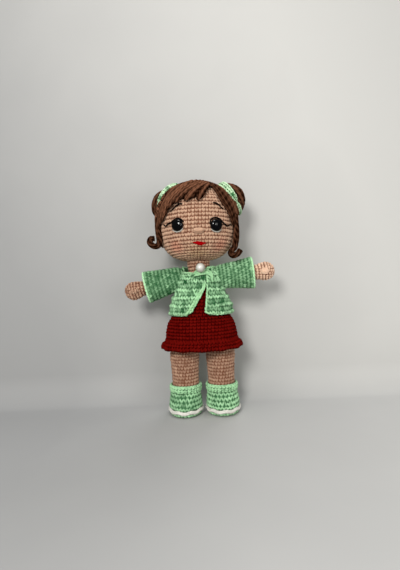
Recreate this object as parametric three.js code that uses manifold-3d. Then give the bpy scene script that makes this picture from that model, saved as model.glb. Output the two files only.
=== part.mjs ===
// A crocheted doll that stands on the soles of its boots, facing -Y, with +Z up.
// The origin is on the floor under the middle of the doll. All sizes are in millimetres.
// Left and right are the doll's own sides: its left is at +X.

import * as THREE from 'three';
import { mergeVertices } from 'three/addons/utils/BufferGeometryUtils.js';
import Module from 'manifold-3d';

const wasm = await Module();
wasm.setup();

// Clearances and walls

const gap = 0.3;
const crochetWall = 2;
const threadRadius = 0.6;
const farAway = 400;

// Body: rows from the neck down, as shares of its height, half width and half depth

const hipHeight = 57;
const hipBottomRise = 11;
const hipBottom = hipHeight + hipBottomRise;
const hipDepth = 24;
const waistHeight = hipBottom + hipDepth;
const bodyHeight = 46.5;
const bodyTop = waistHeight + bodyHeight;
const bodyHalfWidth = 28.4;
const bodyHalfDepth = 20.6;
const bodyRows = [
  { upShare: 1, wideShare: 0.45, deepShare: 0.6 },
  { upShare: 0.95, wideShare: 0.57, deepShare: 0.71 },
  { upShare: 0.86, wideShare: 0.68, deepShare: 0.79 },
  { upShare: 0.71, wideShare: 0.72, deepShare: 0.835 },
  { upShare: 0.56, wideShare: 0.76, deepShare: 0.865 },
  { upShare: 0.39, wideShare: 0.84, deepShare: 0.905 },
  { upShare: 0.19, wideShare: 0.93, deepShare: 0.96 },
  { upShare: 0, wideShare: 1, deepShare: 1 },
];
const hipHalfWidth = 31;
const hipHalfDepth = 21.5;
const hipRowShares = [
  { riseShare: 0, wideShare: 0.86, deepShare: 0.72 },
  { riseShare: 0.125, wideShare: 0.96, deepShare: 0.93 },
  { riseShare: 0.375, wideShare: 1, deepShare: 1 },
  { riseShare: 0.75, wideShare: 0.96, deepShare: 0.99 },
];
const crotchDrop = 2;
const crotchWidth = 3;
const crotchDepth = 16;

// Neck: a short stuffed tube that nods on a round foot and on which the head turns

const neckRise = 1;
const neckHeight = bodyTop + neckRise;
const neckRadius = 11.5;
const neckFootRadius = 10;
const neckLength = 18.5;
const nodAngle = 10;

// Head: a stuffed ball, a little flattened, whose middle is above the joint it nods about

const headAboveNod = 46.5;
const headHeight = neckHeight + headAboveNod;
const headRadius = 38;
const headRise = 37.2;
const headDrop = 38.5;
const headFullness = 2.25;
const headWall = 2.6;

// Hair: a layer of yarn over the head, thinner than the locks that hang from it

const hairThickness = 3.2;
const lockRadius = 2.4;
const lockEndRadius = 1.7;
const napeAngle = -9;
const napeDropShare = 0.5;
const partingShare = [0.37, 0.82];
const fringeShares = [
  [0.12, 0.54], [0.06, 0.43], [-0.03, 0.43], [-0.1, 0.53], [-0.25, 0.42], [-0.35, 0.46], [-0.49, 0.42],
  [-0.6, 0.39], [-0.65, 0.27], [-0.71, 0.2], [-0.77, 0.29], [-0.81, 0.12], [-0.87, -0.14],
];
const fringeTopShares = [[-1.02, 0], [-0.92, 0.42], [-0.66, 0.76], [-0.3, 0.94], [0.1, 1.02], [0.35, 1]];
const sweepShares = [[0.44, 0.76], [0.55, 0.53], [0.63, 0.35], [0.75, 0.18], [0.83, 0.02], [0.89, -0.16]];
const sweepTopShares = [[1.02, -0.1], [0.99, 0.22], [0.84, 0.58], [0.62, 0.84], [0.42, 1]];
const faceShares = [[0.9, -0.6], [0.9, -1.3], [-0.9, -1.3], [-0.9, -0.6]];
const faceDepthShare = 0.16;

// The locks: shares of the head's radius across, forward and up, from the temple to the tip

const leftLockShares = [
  [0.955, 0.44, 0.1], [0.985, 0.41, -0.12], [0.985, 0.42, -0.34], [0.97, 0.42, -0.55], [0.93, 0.42, -0.7],
  [0.85, 0.42, -0.8], [0.83, 0.42, -0.88], [0.9, 0.42, -0.925], [1, 0.42, -0.88], [1.07, 0.42, -0.79],
];
const rightLockShares = [
  [-0.955, 0.44, 0.1], [-0.985, 0.41, -0.12], [-0.965, 0.42, -0.34], [-0.955, 0.42, -0.5], [-1.01, 0.42, -0.6],
  [-1.12, 0.42, -0.6], [-1.2, 0.42, -0.51], [-1.17, 0.42, -0.42], [-1.09, 0.42, -0.41],
];

// Hair buns and their bands, each on a line from the middle of the head

const bunRadius = 16.6;
const bunProud = 1.2;
const bunReach = headRadius + bunProud;
const bandLift = 3.2;
const bandWidth = 5.4;
const bandThickness = 2.4;
const leftBunAngle = 33.4;
const leftBunBackAngle = 5;
const rightBunAngle = 36;
const rightBunBackAngle = 24;

// Face

const eyeRadius = 5;
const eyeProud = 3.4;
const eyePostRadius = 1.6;
const eyePostLength = 6.5;
const washerRadius = 5.4;
const washerThickness = 1.4;
const eyeShare = [0.465, -0.18];
const noseWidth = 11;
const noseHeight = 6.4;
const noseProud = 3;
const noseShare = [0.02, -0.345];
const mouthWidth = 12.2;
const mouthHeight = 2.6;
const mouthProud = 1.2;
const mouthShare = [0.02, -0.62];
const whiteStartAngle = 205;
const whiteEndAngle = 335;
const leftBrowShares = [[0.42, 0.335], [0.48, 0.345], [0.55, 0.315], [0.63, 0.245]];
const rightBrowShares = [[-0.33, 0.35], [-0.4, 0.345], [-0.48, 0.31], [-0.61, 0.25]];
const leftLashShares = [
  [-1.18, 0.11], [-0.91, 0.91], [-0.11, 1.22], [0.61, 1.03],
  [1.18, 0.53], [1.79, 0], [2.2, -0.15], [2.85, 0.3],
];
const rightLashShares = [
  [-1.14, 0.46], [-0.8, 0.91], [-0.11, 1.22], [0.61, 1.03],
  [1.18, 0.65], [1.79, 0.49], [2.28, 0.23], [2.7, 0.53],
];

// Skirt and its ruffled hem

const skirtLength = 22;
const skirtBottom = waistHeight - skirtLength;
const skirtHalfWidth = 36.4;
const skirtHalfDepth = 30;
const skirtTopHalfWidth = 30.8;
const skirtTopHalfDepth = 23;
const skirtWall = 2.3;
const ruffleHeight = 7.2;
const ruffleFlare = 4;
const ruffleWave = 0.9;
const ruffleWaves = 12;
const ruffleBellyShare = 0.8;

// Cardigan: it hangs clear of the dress at the bottom by its ease

const cardiganHemRise = 2.5;
const cardiganBottom = waistHeight + cardiganHemRise;
const cardiganWall = 2.4;
const cardiganEase = 2.6;
const easeGrowth = 1.5;
const collarRise = 3;
const collarTop = bodyTop + collarRise;
const collarRadius = 13.3;
const cardiganRightEdgeShares = [
  [0.232, 0.84], [0.211, 0.67], [0.106, 0.564], [-0.067, 0.357],
  [-0.236, 0.157], [-0.423, 0.028], [-0.704, -0.053],
];
const cardiganLeftEdgeShares = [
  [0.423, -0.053], [0.225, 0.045], [0.141, 0.138], [0.19, 0.372], [0.239, 0.564], [0.261, 0.84],
];
const necklineShares = [[-0.528, 1.053], [-0.458, 0.957], [-0.158, 0.853], [-0.077, 0.883], [-0.035, 1.053]];
const tabShares = [
  [-0.099, 0.853], [-0.085, 0.989], [0.141, 1.011], [0.387, 0.968],
  [0.437, 0.819], [0.246, 0.781], [0.035, 0.806],
];
const tabWall = 2;
const pearlRadius = 4.6;
const pearlSink = 1.4;
const pearlAcross = 1.6;
const pearlDrop = 1.3;

// Arms: each swings on a round shoulder; the sleeve flares to its cuff

const shoulderAcross = 19.5;
const shoulderDrop = 7;
const shoulderHeight = bodyTop - shoulderDrop;
const armLength = 56.5;
const armRadius = 8.5;
const handRadius = 9.3;
const armRowShares = [
  { alongShare: 0.3, radiusShare: 0.98 },
  { alongShare: 0.55, radiusShare: 0.9 },
  { alongShare: 0.68, radiusShare: 0.9 },
];
const handRowShares = [
  { alongShare: 0.78, radiusShare: 0.97 },
  { alongShare: 0.86, radiusShare: 1 },
  { alongShare: 0.93, radiusShare: 0.82 },
  { alongShare: 0.98, radiusShare: 0.47 },
];
const armHoleRadius = 3.4;
const thumbLength = 8;
const thumbWidth = 5.2;
const thumbProud = 2.4;
const thumbShare = 0.8;
const leftArmAngle = 4.5;
const rightArmAngle = -13;
const armHighestAngle = 31;
const armLowestAngle = -37;
const sleeveLength = 34;
const sleeveCuffRadius = 16;
const sleeveRootRadius = 10.7;
const sleeveStart = 1.5;
const sleeveFlatShare = 0.8;
const sleeveWall = 2.2;

// Legs: each swings on a round hip; the boots are pulled over them

const hipAcross = 17.8;
const legRadius = 14.4;
const ankleHeight = 30;
const ankleRadius = 13.2;
const footBottom = 8;
const footEndShare = 0.8;
const footRoundShare = 0.3;
const legHoleRadius = 5;
const legForwardAngle = 45;
const legBackAngle = 25;

// Boots

const bootAcross = 18.2;
const bootHalfWidth = 16.1;
const bootHalfLength = 21;
const bootAhead = 5;
const bootRowShares = [
  { wideShare: 1, longShare: 1, aheadShare: 1 },
  { wideShare: 1, longShare: 0.97, aheadShare: 0.95 },
  { wideShare: 0.98, longShare: 0.88, aheadShare: 0.65 },
  { wideShare: 0.96, longShare: 0.78, aheadShare: 0.2 },
];
const soleThickness = 3.4;
const weltThickness = 1.8;
const weltProud = 0.9;
const weltInside = 3.5;
const bootInstepHeight = 12;
const bootTop = 20;
const bootTopRadius = 14.7;
const bootCuffHeight = 6.4;
const bootCuffWall = 2.6;

// Numbers of steps and sides

const headSides = 20;
const bodySides = 18;
const limbSides = 12;
const smallSides = 8;
const threadSides = 5;
const arcSteps = 4;
const lockSteps = 16;
const lashSteps = 14;

// Colours

const skinColour = 0xd9ac8a;
const dressColour = 0x8c1408;
const mintColour = 0x9fd3a2;
const hairColour = 0x4a2a1c;
const fillingColour = 0xf1ede4;
const whiteColour = 0xf2eee4;
const threadColour = 0x17110f;
const lipColour = 0xb3121c;
const eyeColour = 0x08080a;
const washerColour = 0xdfe0dd;
const pearlColour = 0xf3ebdc;

function finishOf(colour, roughness) {
  return new THREE.MeshStandardMaterial({ color: colour, roughness, metalness: 0 });
}

const skin = finishOf(skinColour, 0.9);
const dress = finishOf(dressColour, 0.9);
const mint = finishOf(mintColour, 0.9);
const hair = finishOf(hairColour, 0.9);
const filling = finishOf(fillingColour, 0.95);
const whiteYarn = finishOf(whiteColour, 0.9);
const blackThread = finishOf(threadColour, 0.8);
const redThread = finishOf(lipColour, 0.8);
const eyePlastic = finishOf(eyeColour, 0.12);
const washerPlastic = finishOf(washerColour, 0.45);
const pearl = finishOf(pearlColour, 0.25);

// A closed geometry as a solid that can be cut and joined

function solidOf(geometry) {
  geometry.deleteAttribute('normal');
  geometry.deleteAttribute('uv');
  const merged = mergeVertices(geometry, gap / 1000);
  const place = merged.getAttribute('position');
  const index = merged.getIndex();
  const corners = [];
  let volume = 0;
  const [a, b, c] = [new THREE.Vector3(), new THREE.Vector3(), new THREE.Vector3()];
  for (let i = 0; i < index.count; i += 3) {
    const [p, q, r] = [index.getX(i), index.getX(i + 1), index.getX(i + 2)];
    if (p !== q && q !== r && r !== p) {
      corners.push(p, q, r);
      a.fromBufferAttribute(place, p);
      b.fromBufferAttribute(place, q);
      c.fromBufferAttribute(place, r);
      volume += a.dot(b.cross(c));
    }
  }
  if (volume < 0) corners.reverse();
  const vertProperties = new Float32Array(place.array);
  const triVerts = new Uint32Array(corners);
  return new wasm.Manifold(new wasm.Mesh({ numProp: 3, vertProperties, triVerts }));
}

function geometryOf(solid) {
  const mesh = solid.getMesh();
  const geometry = new THREE.BufferGeometry();
  geometry.setAttribute('position', new THREE.BufferAttribute(new Float32Array(mesh.vertProperties), 3));
  geometry.setIndex(new THREE.BufferAttribute(new Uint32Array(mesh.triVerts), 1));
  return geometry;
}

function cut(solid, ...others) {
  return others.reduce((left, other) => left.subtract(other), solid);
}

// A form turned about Z, with a width and a depth of its own in each row

function turned(rows, sides) {
  const profile = rows.map((row) => new THREE.Vector2(row.wide, row.up));
  const geometry = new THREE.LatheGeometry(profile, sides);
  geometry.rotateX(Math.PI / 2);
  const place = geometry.getAttribute('position');
  for (let i = 0; i < place.count; i += 1) {
    const row = rows[i % rows.length];
    const flat = row.wide > 0 ? row.deep / row.wide : 0;
    place.setY(i, place.getY(i) * flat - row.ahead);
  }
  return solidOf(geometry);
}

function rowOf(up, wide, deep = wide, ahead = 0) {
  return { up, wide, deep, ahead };
}

function closedRows(rows) {
  const first = rows[0];
  const last = rows[rows.length - 1];
  return [rowOf(first.up, 0, 0, first.ahead), ...rows, rowOf(last.up, 0, 0, last.ahead)];
}

function grownRows(rows, by) {
  return rows.map((row) => rowOf(row.up, row.wide + by, row.deep + by, row.ahead));
}

// An egg about the origin

function egg(wide, deep, rise, drop, fullness, sides, steps) {
  const rows = [];
  for (let i = 0; i <= steps; i += 1) {
    const angle = Math.PI * (i / steps - 0.5);
    const side = i === 0 || i === steps ? 0 : Math.cos(angle) ** (2 / fullness);
    const height = Math.abs(Math.sin(angle)) ** (2 / fullness) * Math.sign(angle);
    rows.push(rowOf(height * (angle > 0 ? rise : drop), wide * side, deep * side));
  }
  return turned(rows, sides);
}

function ball(radius, sides, steps) {
  return egg(radius, radius, radius, radius, 2, sides, steps);
}

function placed(solid, x, y, z) {
  return solid.translate([x, y, z]);
}

// Turns a solid made along +Z so that it runs along a direction from a point

function aimed(solid, from, direction) {
  const up = new THREE.Vector3(0, 0, 1);
  const turn = new THREE.Quaternion().setFromUnitVectors(up, direction.clone().normalize());
  const matrix = new THREE.Matrix4().compose(from, turn, new THREE.Vector3(1, 1, 1));
  return solid.transform(matrix.elements);
}

function rod(radius, from, to, sides) {
  return turned(closedRows([rowOf(from, radius), rowOf(to, radius)]), sides);
}

// The radius of a bore with flat sides in which a round of the same number of sides can turn

function turningBore(radius, sides) {
  return radius / Math.cos(Math.PI / sides);
}

// A flat outline, given across and up, that runs from one depth forward to another

function curtain(points, back, front) {
  const shape = new THREE.Shape(points.map((point) => new THREE.Vector2(point.across, point.up)));
  const geometry = new THREE.ExtrudeGeometry(shape, { depth: back - front, bevelEnabled: false });
  geometry.rotateX(Math.PI / 2);
  geometry.translate(0, back, 0);
  return solidOf(geometry);
}

// A thread or cord along a smooth curve through points, thinner towards its end

function cordAlong(points, radius, sides, steps, endShare = 1) {
  const route = new THREE.CatmullRomCurve3(points);
  const section = new THREE.Shape();
  for (let i = 0; i < sides; i += 1) {
    const angle = (2 * Math.PI * i) / sides;
    section[i === 0 ? 'moveTo' : 'lineTo'](radius * Math.cos(angle), radius * Math.sin(angle));
  }
  section.closePath();
  const geometry = new THREE.ExtrudeGeometry(section, { steps, bevelEnabled: false, extrudePath: route });
  const place = geometry.getAttribute('position');
  const stations = route.getSpacedPoints(steps);
  const corner = new THREE.Vector3();
  for (let i = 0; i < place.count; i += 1) {
    corner.fromBufferAttribute(place, i);
    let nearest = 0;
    stations.forEach((station, k) => {
      if (station.distanceTo(corner) < stations[nearest].distanceTo(corner)) nearest = k;
    });
    corner.lerp(stations[nearest], (1 - endShare) * (nearest / steps) ** 2);
    place.setXYZ(i, corner.x, corner.y, corner.z);
  }
  return solidOf(geometry);
}

// Head

function headForm(growth) {
  const wide = headRadius + growth;
  return egg(wide, wide, headRise + growth, headDrop + growth, headFullness, headSides, headSides / 2);
}

function onHead(share, lift) {
  const across = share[0] * headRadius;
  const up = share[1] * headRadius;
  const half = (up > 0 ? headRise : headDrop) + lift;
  const reach = (headRadius + lift) * (1 - (Math.abs(up) / half) ** headFullness) ** (1 / headFullness);
  return new THREE.Vector3(across, -Math.sqrt(Math.max(0, reach ** 2 - across ** 2)), up);
}

function threadOnHead(shares, steps) {
  const points = shares.map((share) => onHead(share, gap + threadRadius));
  return cordAlong(points, threadRadius, threadSides, steps);
}

const headCentre = new THREE.Vector3(0, 0, headHeight);
const neckInHead = neckHeight + neckLength - headHeight;
const neckBore = rod(turningBore(neckRadius + gap, limbSides), -farAway, neckInHead + gap, limbSides);
const headInside = headForm(-headWall);
const washerLimit = headForm(-headWall - gap);

function eyeSet(side) {
  const at = onHead([side * eyeShare[0], eyeShare[1]], 0);
  const out = at.clone().normalize();
  const dome = egg(eyeRadius, eyeRadius, eyeProud, eyeProud, 2, smallSides + 2, arcSteps);
  const post = (grow) => aimed(rod(eyePostRadius + grow, -eyePostLength, gap, smallSides), at, out);
  const eye = cut(aimed(dome, at, out), headForm(gap)).add(post(0));
  const washerBack = -headWall - gap - washerThickness - gap;
  const washerFront = washerBack + washerThickness * 2;
  const washer = (grow) => aimed(rod(washerRadius + grow, washerBack - grow, washerFront, smallSides), at, out);
  const white = [];
  for (let i = 0; i <= arcSteps; i += 1) {
    const along = i / arcSteps;
    const angle = THREE.MathUtils.degToRad(whiteStartAngle * (1 - along) + whiteEndAngle * along);
    const reach = (eyeRadius + gap + threadRadius + gap) / eyeRadius;
    white.push(besideEye(side, [reach * Math.cos(angle), reach * Math.sin(angle)]));
  }
  return { eye, post, washer, white: cordAlong(white, threadRadius, threadSides, arcSteps) };
}

// A place for a thread by an eye, in shares of the eye's radius outward and up from its middle

function besideEye(side, share) {
  const across = side * (eyeShare[0] + (share[0] * eyeRadius) / headRadius);
  return onHead([across, eyeShare[1] + (share[1] * eyeRadius) / headRadius], gap + threadRadius);
}

function lashesOf(side, shares) {
  const points = shares.map((share) => besideEye(side, share));
  return cordAlong(points, threadRadius, threadSides, lashSteps);
}

const leftEye = eyeSet(1);
const rightEye = eyeSet(-1);
const eyePosts = leftEye.post(gap).add(rightEye.post(gap));
const eyeWashers = leftEye.washer(gap).add(rightEye.washer(gap));
const headSolid = cut(headForm(0), headInside, neckBore, eyePosts);
const headFilling = cut(headForm(-headWall - gap), neckBore, eyeWashers, eyePosts);

function bobble(width, proud, height, share) {
  const solid = egg(width / 2, proud, height / 2, height / 2, 2, limbSides, arcSteps);
  const at = onHead(share, 0);
  return cut(placed(solid, at.x, at.y, at.z), headForm(gap));
}

const noseSolid = bobble(noseWidth, noseProud, noseHeight, noseShare);
const mouthSolid = bobble(mouthWidth, mouthProud, mouthHeight, mouthShare);

// Hair

function shareOutline(shares, size = headRadius) {
  return shares.map((share) => ({ across: share[0] * size, up: share[1] * size }));
}

function onFront(shares) {
  return curtain(shareOutline(shares), -headRadius * faceDepthShare, -headRadius * 2);
}

function lockSolid(shares, grow) {
  const points = shares.map(([across, forward, up]) => (
    new THREE.Vector3(across, -forward, up).multiplyScalar(headRadius)
  ));
  const endShare = grow > 0 ? 1 : lockEndRadius / lockRadius;
  return cordAlong(points, lockRadius + grow, threadSides + 1, lockSteps, endShare);
}

const hairLayer = cut(headForm(gap + hairThickness), headForm(gap));
const fringeOutline = [partingShare, ...fringeShares, ...fringeTopShares];
const sweepOutline = [partingShare, ...sweepShares, ...sweepTopShares];
const fringeRegion = onFront(fringeOutline);
const sweepRegion = onFront(sweepOutline);
const faceRegion = onFront([partingShare, ...sweepShares, ...faceShares, ...fringeShares.toReversed()]);
const napeHalf = rod(headRadius * 2, -farAway, 0, smallSides).rotate([napeAngle, 0, 0]);
const napeCutter = placed(napeHalf, 0, 0, -headRadius * napeDropShare);
const leftLock = lockSolid(leftLockShares, 0);
const rightLock = lockSolid(rightLockShares, 0);
const locksGrown = lockSolid(leftLockShares, gap).add(lockSolid(rightLockShares, gap));
const fringeMoved = placed(fringeRegion, gap, 0, 0);
const sweepSolid = cut(hairLayer.intersect(sweepRegion), faceRegion, fringeMoved, locksGrown);
const fringeSolid = cut(hairLayer.intersect(fringeRegion), faceRegion, locksGrown);
const frontShares = [
  ...fringeShares.slice(-1),
  ...fringeTopShares,
  ...sweepTopShares.toReversed(),
  ...sweepShares.slice(-1),
];
const frontHair = curtain(
  shareOutline(frontShares, headRadius + gap + gap),
  -headRadius * faceDepthShare + gap,
  -headRadius * 2,
);
const capSolid = cut(hairLayer, frontHair, faceRegion, napeCutter, locksGrown);

function bunDirection(side, rise, turn) {
  const up = THREE.MathUtils.degToRad(rise);
  const back = THREE.MathUtils.degToRad(turn);
  return new THREE.Vector3(side * Math.cos(up) * Math.cos(back), Math.sin(back), Math.sin(up) * Math.cos(back));
}

function bunSet(side, rise, turn) {
  const out = bunDirection(side, rise, turn);
  const at = out.clone().multiplyScalar(bunReach);
  const yarnBall = (grow) => aimed(ball(bunRadius + grow, limbSides, arcSteps + 2), at, out);
  const bandBore = bunRadius - gap - gap;
  const outer = bunRadius + bandThickness;
  const middle = bunRadius + bandThickness / 2;
  const half = bandWidth / 2;
  const rows = [
    rowOf(-half, bandBore),
    rowOf(-half, middle),
    rowOf(-half / 2, outer),
    rowOf(half / 2, outer),
    rowOf(half, middle),
    rowOf(half, bandBore),
    rowOf(-half, bandBore),
  ];
  const band = aimed(turned(rows, bodySides), out.clone().multiplyScalar(bunReach + bandLift), out);
  const headHair = headForm(gap + hairThickness + gap);
  return { bun: cut(yarnBall(0), headHair), band: cut(band, yarnBall(gap), headHair) };
}

const leftBun = bunSet(1, leftBunAngle, leftBunBackAngle);
const rightBun = bunSet(-1, rightBunAngle, rightBunBackAngle);

// Arms, made along +Z from the shoulder

function limbRows(growth) {
  const rows = [];
  for (let i = 0; i < arcSteps / 2; i += 1) {
    const angle = (Math.PI / 2) * ((2 * i) / arcSteps - 1);
    const reach = armRadius + growth;
    rows.push(rowOf(reach * Math.sin(angle), i === 0 ? 0 : reach * Math.cos(angle)));
  }
  rows.push(rowOf(0, armRadius + growth));
  armRowShares.forEach((row) => {
    rows.push(rowOf(armLength * row.alongShare, armRadius * row.radiusShare + growth));
  });
  handRowShares.forEach((row) => {
    rows.push(rowOf((armLength + growth) * row.alongShare, handRadius * row.radiusShare + growth));
  });
  rows.push(rowOf(armLength + growth, 0));
  return rows;
}

function armDirection(side, rise) {
  const angle = THREE.MathUtils.degToRad(rise);
  return new THREE.Vector3(side * Math.cos(angle), 0, Math.sin(angle));
}

function sleeveForm(growth) {
  const rows = [
    rowOf(-sleeveStart - growth, sleeveRootRadius + growth),
    rowOf(sleeveLength, sleeveCuffRadius + growth, sleeveCuffRadius * sleeveFlatShare + growth),
  ];
  return turned(closedRows(rows), limbSides);
}

function armSet(side, rise) {
  const shoulder = new THREE.Vector3(side * shoulderAcross, 0, shoulderHeight);
  const out = armDirection(side, rise);
  const whole = turned(limbRows(0), limbSides);
  const inside = turned(limbRows(-crochetWall), limbSides);
  const opening = rod(armHoleRadius, -armRadius * 2, 0, smallSides);
  const shell = cut(whole, inside, opening);
  const stuffing = turned(limbRows(-crochetWall - gap), limbSides);
  const sleeveBore = rod(armRadius + gap, -armRadius * 2, 0, limbSides);
  const flareWide = (sleeveCuffRadius - sleeveWall) * 2 - armRadius;
  const flareDeep = (sleeveCuffRadius * sleeveFlatShare - sleeveWall) * 2 - armRadius;
  const sleeveInside = turned(
    closedRows([rowOf(-gap, armRadius + gap), rowOf(sleeveLength * 2, flareWide, flareDeep)]),
    limbSides,
  );
  const sleeve = cut(sleeveForm(0), sleeveBore, sleeveInside);
  const reachForm = rod(armRadius + gap + gap, 0, armLength / 2, limbSides);
  const reach = (angle) => aimed(reachForm, shoulder, armDirection(side, angle));
  const joint = aimed(ball(armRadius + gap, limbSides, arcSteps * 2), shoulder, out);
  const sweep = joint.add(reach(rise)).add(reach(armHighestAngle)).add(reach(armLowestAngle));
  const thumbDeep = thumbProud + crochetWall;
  const thumbBall = egg(thumbWidth / 2, thumbDeep, thumbLength / 2, thumbLength / 2, 2, smallSides, arcSteps);
  const thumbAt = placed(thumbBall, 0, -handRadius, armLength * thumbShare);
  const thumb = cut(thumbAt, turned(limbRows(gap), limbSides));
  return {
    shoulder,
    sweep,
    arm: aimedArm(shell, shoulder, side, rise),
    stuffing: aimedArm(stuffing, shoulder, side, rise),
    sleeve: aimedArm(sleeve, shoulder, side, rise),
    sleeveGrown: aimedArm(sleeveForm(gap), shoulder, side, rise),
    thumb: aimedArm(thumb, shoulder, side, rise),
  };
}

// Turns a limb made along +Z about Y alone, so that its front stays to the front

function aimedArm(solid, shoulder, side, rise) {
  return solid.rotate([0, side * (90 - rise), 0]).translate([shoulder.x, shoulder.y, shoulder.z]);
}

const leftArm = armSet(1, leftArmAngle);
const rightArm = armSet(-1, rightArmAngle);

// Legs and boots, made about the hip

function legRows(growth) {
  const rows = [
    rowOf(footBottom - growth, 0),
    rowOf(footBottom - growth, ankleRadius * footEndShare + growth),
    rowOf(footBottom + ankleRadius * footRoundShare, ankleRadius + growth),
    rowOf(ankleHeight, ankleRadius + growth),
    rowOf(hipHeight, legRadius + growth),
  ];
  for (let i = 1; i < arcSteps - 1; i += 1) {
    const angle = (Math.PI / 2) * (i / (arcSteps - 1));
    const reach = legRadius + growth;
    rows.push(rowOf(hipHeight + reach * Math.sin(angle), reach * Math.cos(angle)));
  }
  rows.push(rowOf(hipHeight + legRadius + growth, 0));
  return rows;
}

function bootRows(growth) {
  const bottom = soleThickness + gap + weltThickness + gap;
  const heights = [bottom, (bottom + bootInstepHeight) / 2, bootInstepHeight, (bootInstepHeight + bootTop) / 2];
  const rows = bootRowShares.map((row, i) => rowOf(
    heights[i],
    bootHalfWidth * row.wideShare + growth,
    bootHalfLength * row.longShare + growth,
    bootAhead * row.aheadShare,
  ));
  return closedRows([...rows, rowOf(bootTop, bootTopRadius + growth)]);
}

function footRing(from, to, outside, inside) {
  return cut(
    turned(closedRows([
      rowOf(from, bootHalfWidth + outside, bootHalfLength + outside, bootAhead),
      rowOf((from + to) / 2, bootHalfWidth + outside + gap, bootHalfLength + outside + gap, bootAhead),
      rowOf(to, bootHalfWidth + outside, bootHalfLength + outside, bootAhead),
    ]), bodySides),
    turned(closedRows([
      rowOf(-farAway, bootHalfWidth - inside, bootHalfLength - inside, bootAhead),
      rowOf(farAway, bootHalfWidth - inside, bootHalfLength - inside, bootAhead),
    ]), bodySides),
  );
}

function legSet(side) {
  const x = side * hipAcross;
  const boot = side * bootAcross;
  const legHole = rod(legHoleRadius, hipHeight, farAway, smallSides);
  const legInside = turned(legRows(-crochetWall), limbSides);
  const leg = placed(cut(turned(legRows(0), limbSides), legInside, legHole), x, 0, 0);
  const stuffing = placed(turned(legRows(-crochetWall - gap), limbSides), x, 0, 0);
  const legGrown = placed(turned(legRows(gap), limbSides), x, 0, 0);
  const upper = cut(placed(turned(bootRows(0), bodySides), boot, 0, 0), legGrown);
  const cuffOuter = bootTopRadius + bootCuffWall / 4;
  const cuff = cut(
    placed(turned(closedRows([
      rowOf(bootTop + gap, cuffOuter),
      rowOf(bootTop + bootCuffHeight / 2, cuffOuter + bootCuffWall / 4),
      rowOf(bootTop + bootCuffHeight, cuffOuter),
    ]), bodySides), (x + boot) / 2, 0, 0),
    legGrown,
  );
  const sole = turned(closedRows([
    rowOf(0, bootHalfWidth - gap, bootHalfLength - gap, bootAhead),
    rowOf(soleThickness, bootHalfWidth, bootHalfLength, bootAhead),
  ]), bodySides);
  const swing = [-legForwardAngle, -legForwardAngle / 2, 0, legBackAngle / 2, legBackAngle].map((angle) => (
    rod(legRadius + gap, -farAway, 0, limbSides).rotate([angle, 0, 0]).translate([x, 0, hipHeight])
  ));
  const hipBall = ball(legRadius + gap, limbSides, arcSteps * 2 + 2);
  const weltBottom = soleThickness + gap;
  const welt = footRing(weltBottom, weltBottom + weltThickness, weltProud, weltInside);
  return {
    hip: new THREE.Vector3(x, 0, hipHeight),
    leg,
    stuffing,
    upper,
    cuff,
    welt: placed(welt, boot, 0, 0),
    sole: placed(sole, boot, 0, 0),
    sweep: swing.reduce((left, next) => left.add(next), placed(hipBall, x, 0, hipHeight)),
  };
}

const leftLeg = legSet(1);
const rightLeg = legSet(-1);

// Body

function bodyForm(growth, ease) {
  const rows = bodyRows.map((row) => {
    const loose = growth + ease * (1 - row.upShare) ** easeGrowth;
    return rowOf(
      waistHeight + bodyHeight * row.upShare,
      bodyHalfWidth * row.wideShare + loose,
      bodyHalfDepth * row.deepShare + loose,
    );
  });
  return rows.reverse();
}

const dressRows = bodyForm(0, 0);
const neckFootGrown = neckFootRadius + gap + gap;
const neckBall = placed(ball(neckFootGrown, limbSides, arcSteps * 2), 0, 0, neckHeight);
const neckRows = closedRows([
  rowOf(0, neckFootGrown),
  rowOf(neckLength / 3, neckRadius + gap),
  rowOf(neckLength, neckRadius + gap),
]);
const neckTilts = [-nodAngle, 0, nodAngle].map((angle) => (
  turned(neckRows, limbSides).rotate([angle, 0, 0]).translate([0, 0, neckHeight])
));
const neckSweep = neckTilts.reduce((left, next) => left.add(next), neckBall);
const armSweeps = leftArm.sweep.add(rightArm.sweep);
const dressForm = turned(closedRows(dressRows), bodySides);
const dressInsideRows = grownRows(dressRows, -crochetWall);
const dressBelow = rowOf(waistHeight - crochetWall, dressInsideRows[0].wide, dressInsideRows[0].deep);
const dressInside = turned(closedRows([dressBelow, ...dressInsideRows]), bodySides);
const bodiceSolid = cut(dressForm, dressInside, neckSweep, armSweeps);
const fillingForm = turned(closedRows(grownRows(dressRows, -crochetWall - gap)), bodySides);
const aboveFilling = rod(farAway, bodyTop - crochetWall, farAway, smallSides);
const bodyFilling = cut(fillingForm, neckSweep, armSweeps, aboveFilling);

const hipTop = waistHeight - gap;

function hipRows(growth) {
  const rows = hipRowShares.map((row) => rowOf(
    hipBottom + (hipTop - hipBottom) * row.riseShare,
    hipHalfWidth * row.wideShare + growth,
    hipHalfDepth * row.deepShare + growth,
  ));
  return closedRows([...rows, rowOf(hipTop + growth, bodyHalfWidth + growth, bodyHalfDepth + growth)]);
}

const crotchTop = hipBottom + gap;
const crotchBottom = hipHeight - crotchDrop;
const crotchBox = solidOf(new THREE.BoxGeometry(crotchWidth, crotchDepth, crotchTop - crotchBottom));
const crotch = placed(crotchBox, 0, 0, (crotchTop + crotchBottom) / 2);
const hipSolid = cut(turned(hipRows(0), bodySides).add(crotch), leftLeg.sweep, rightLeg.sweep);

// Skirt

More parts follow.
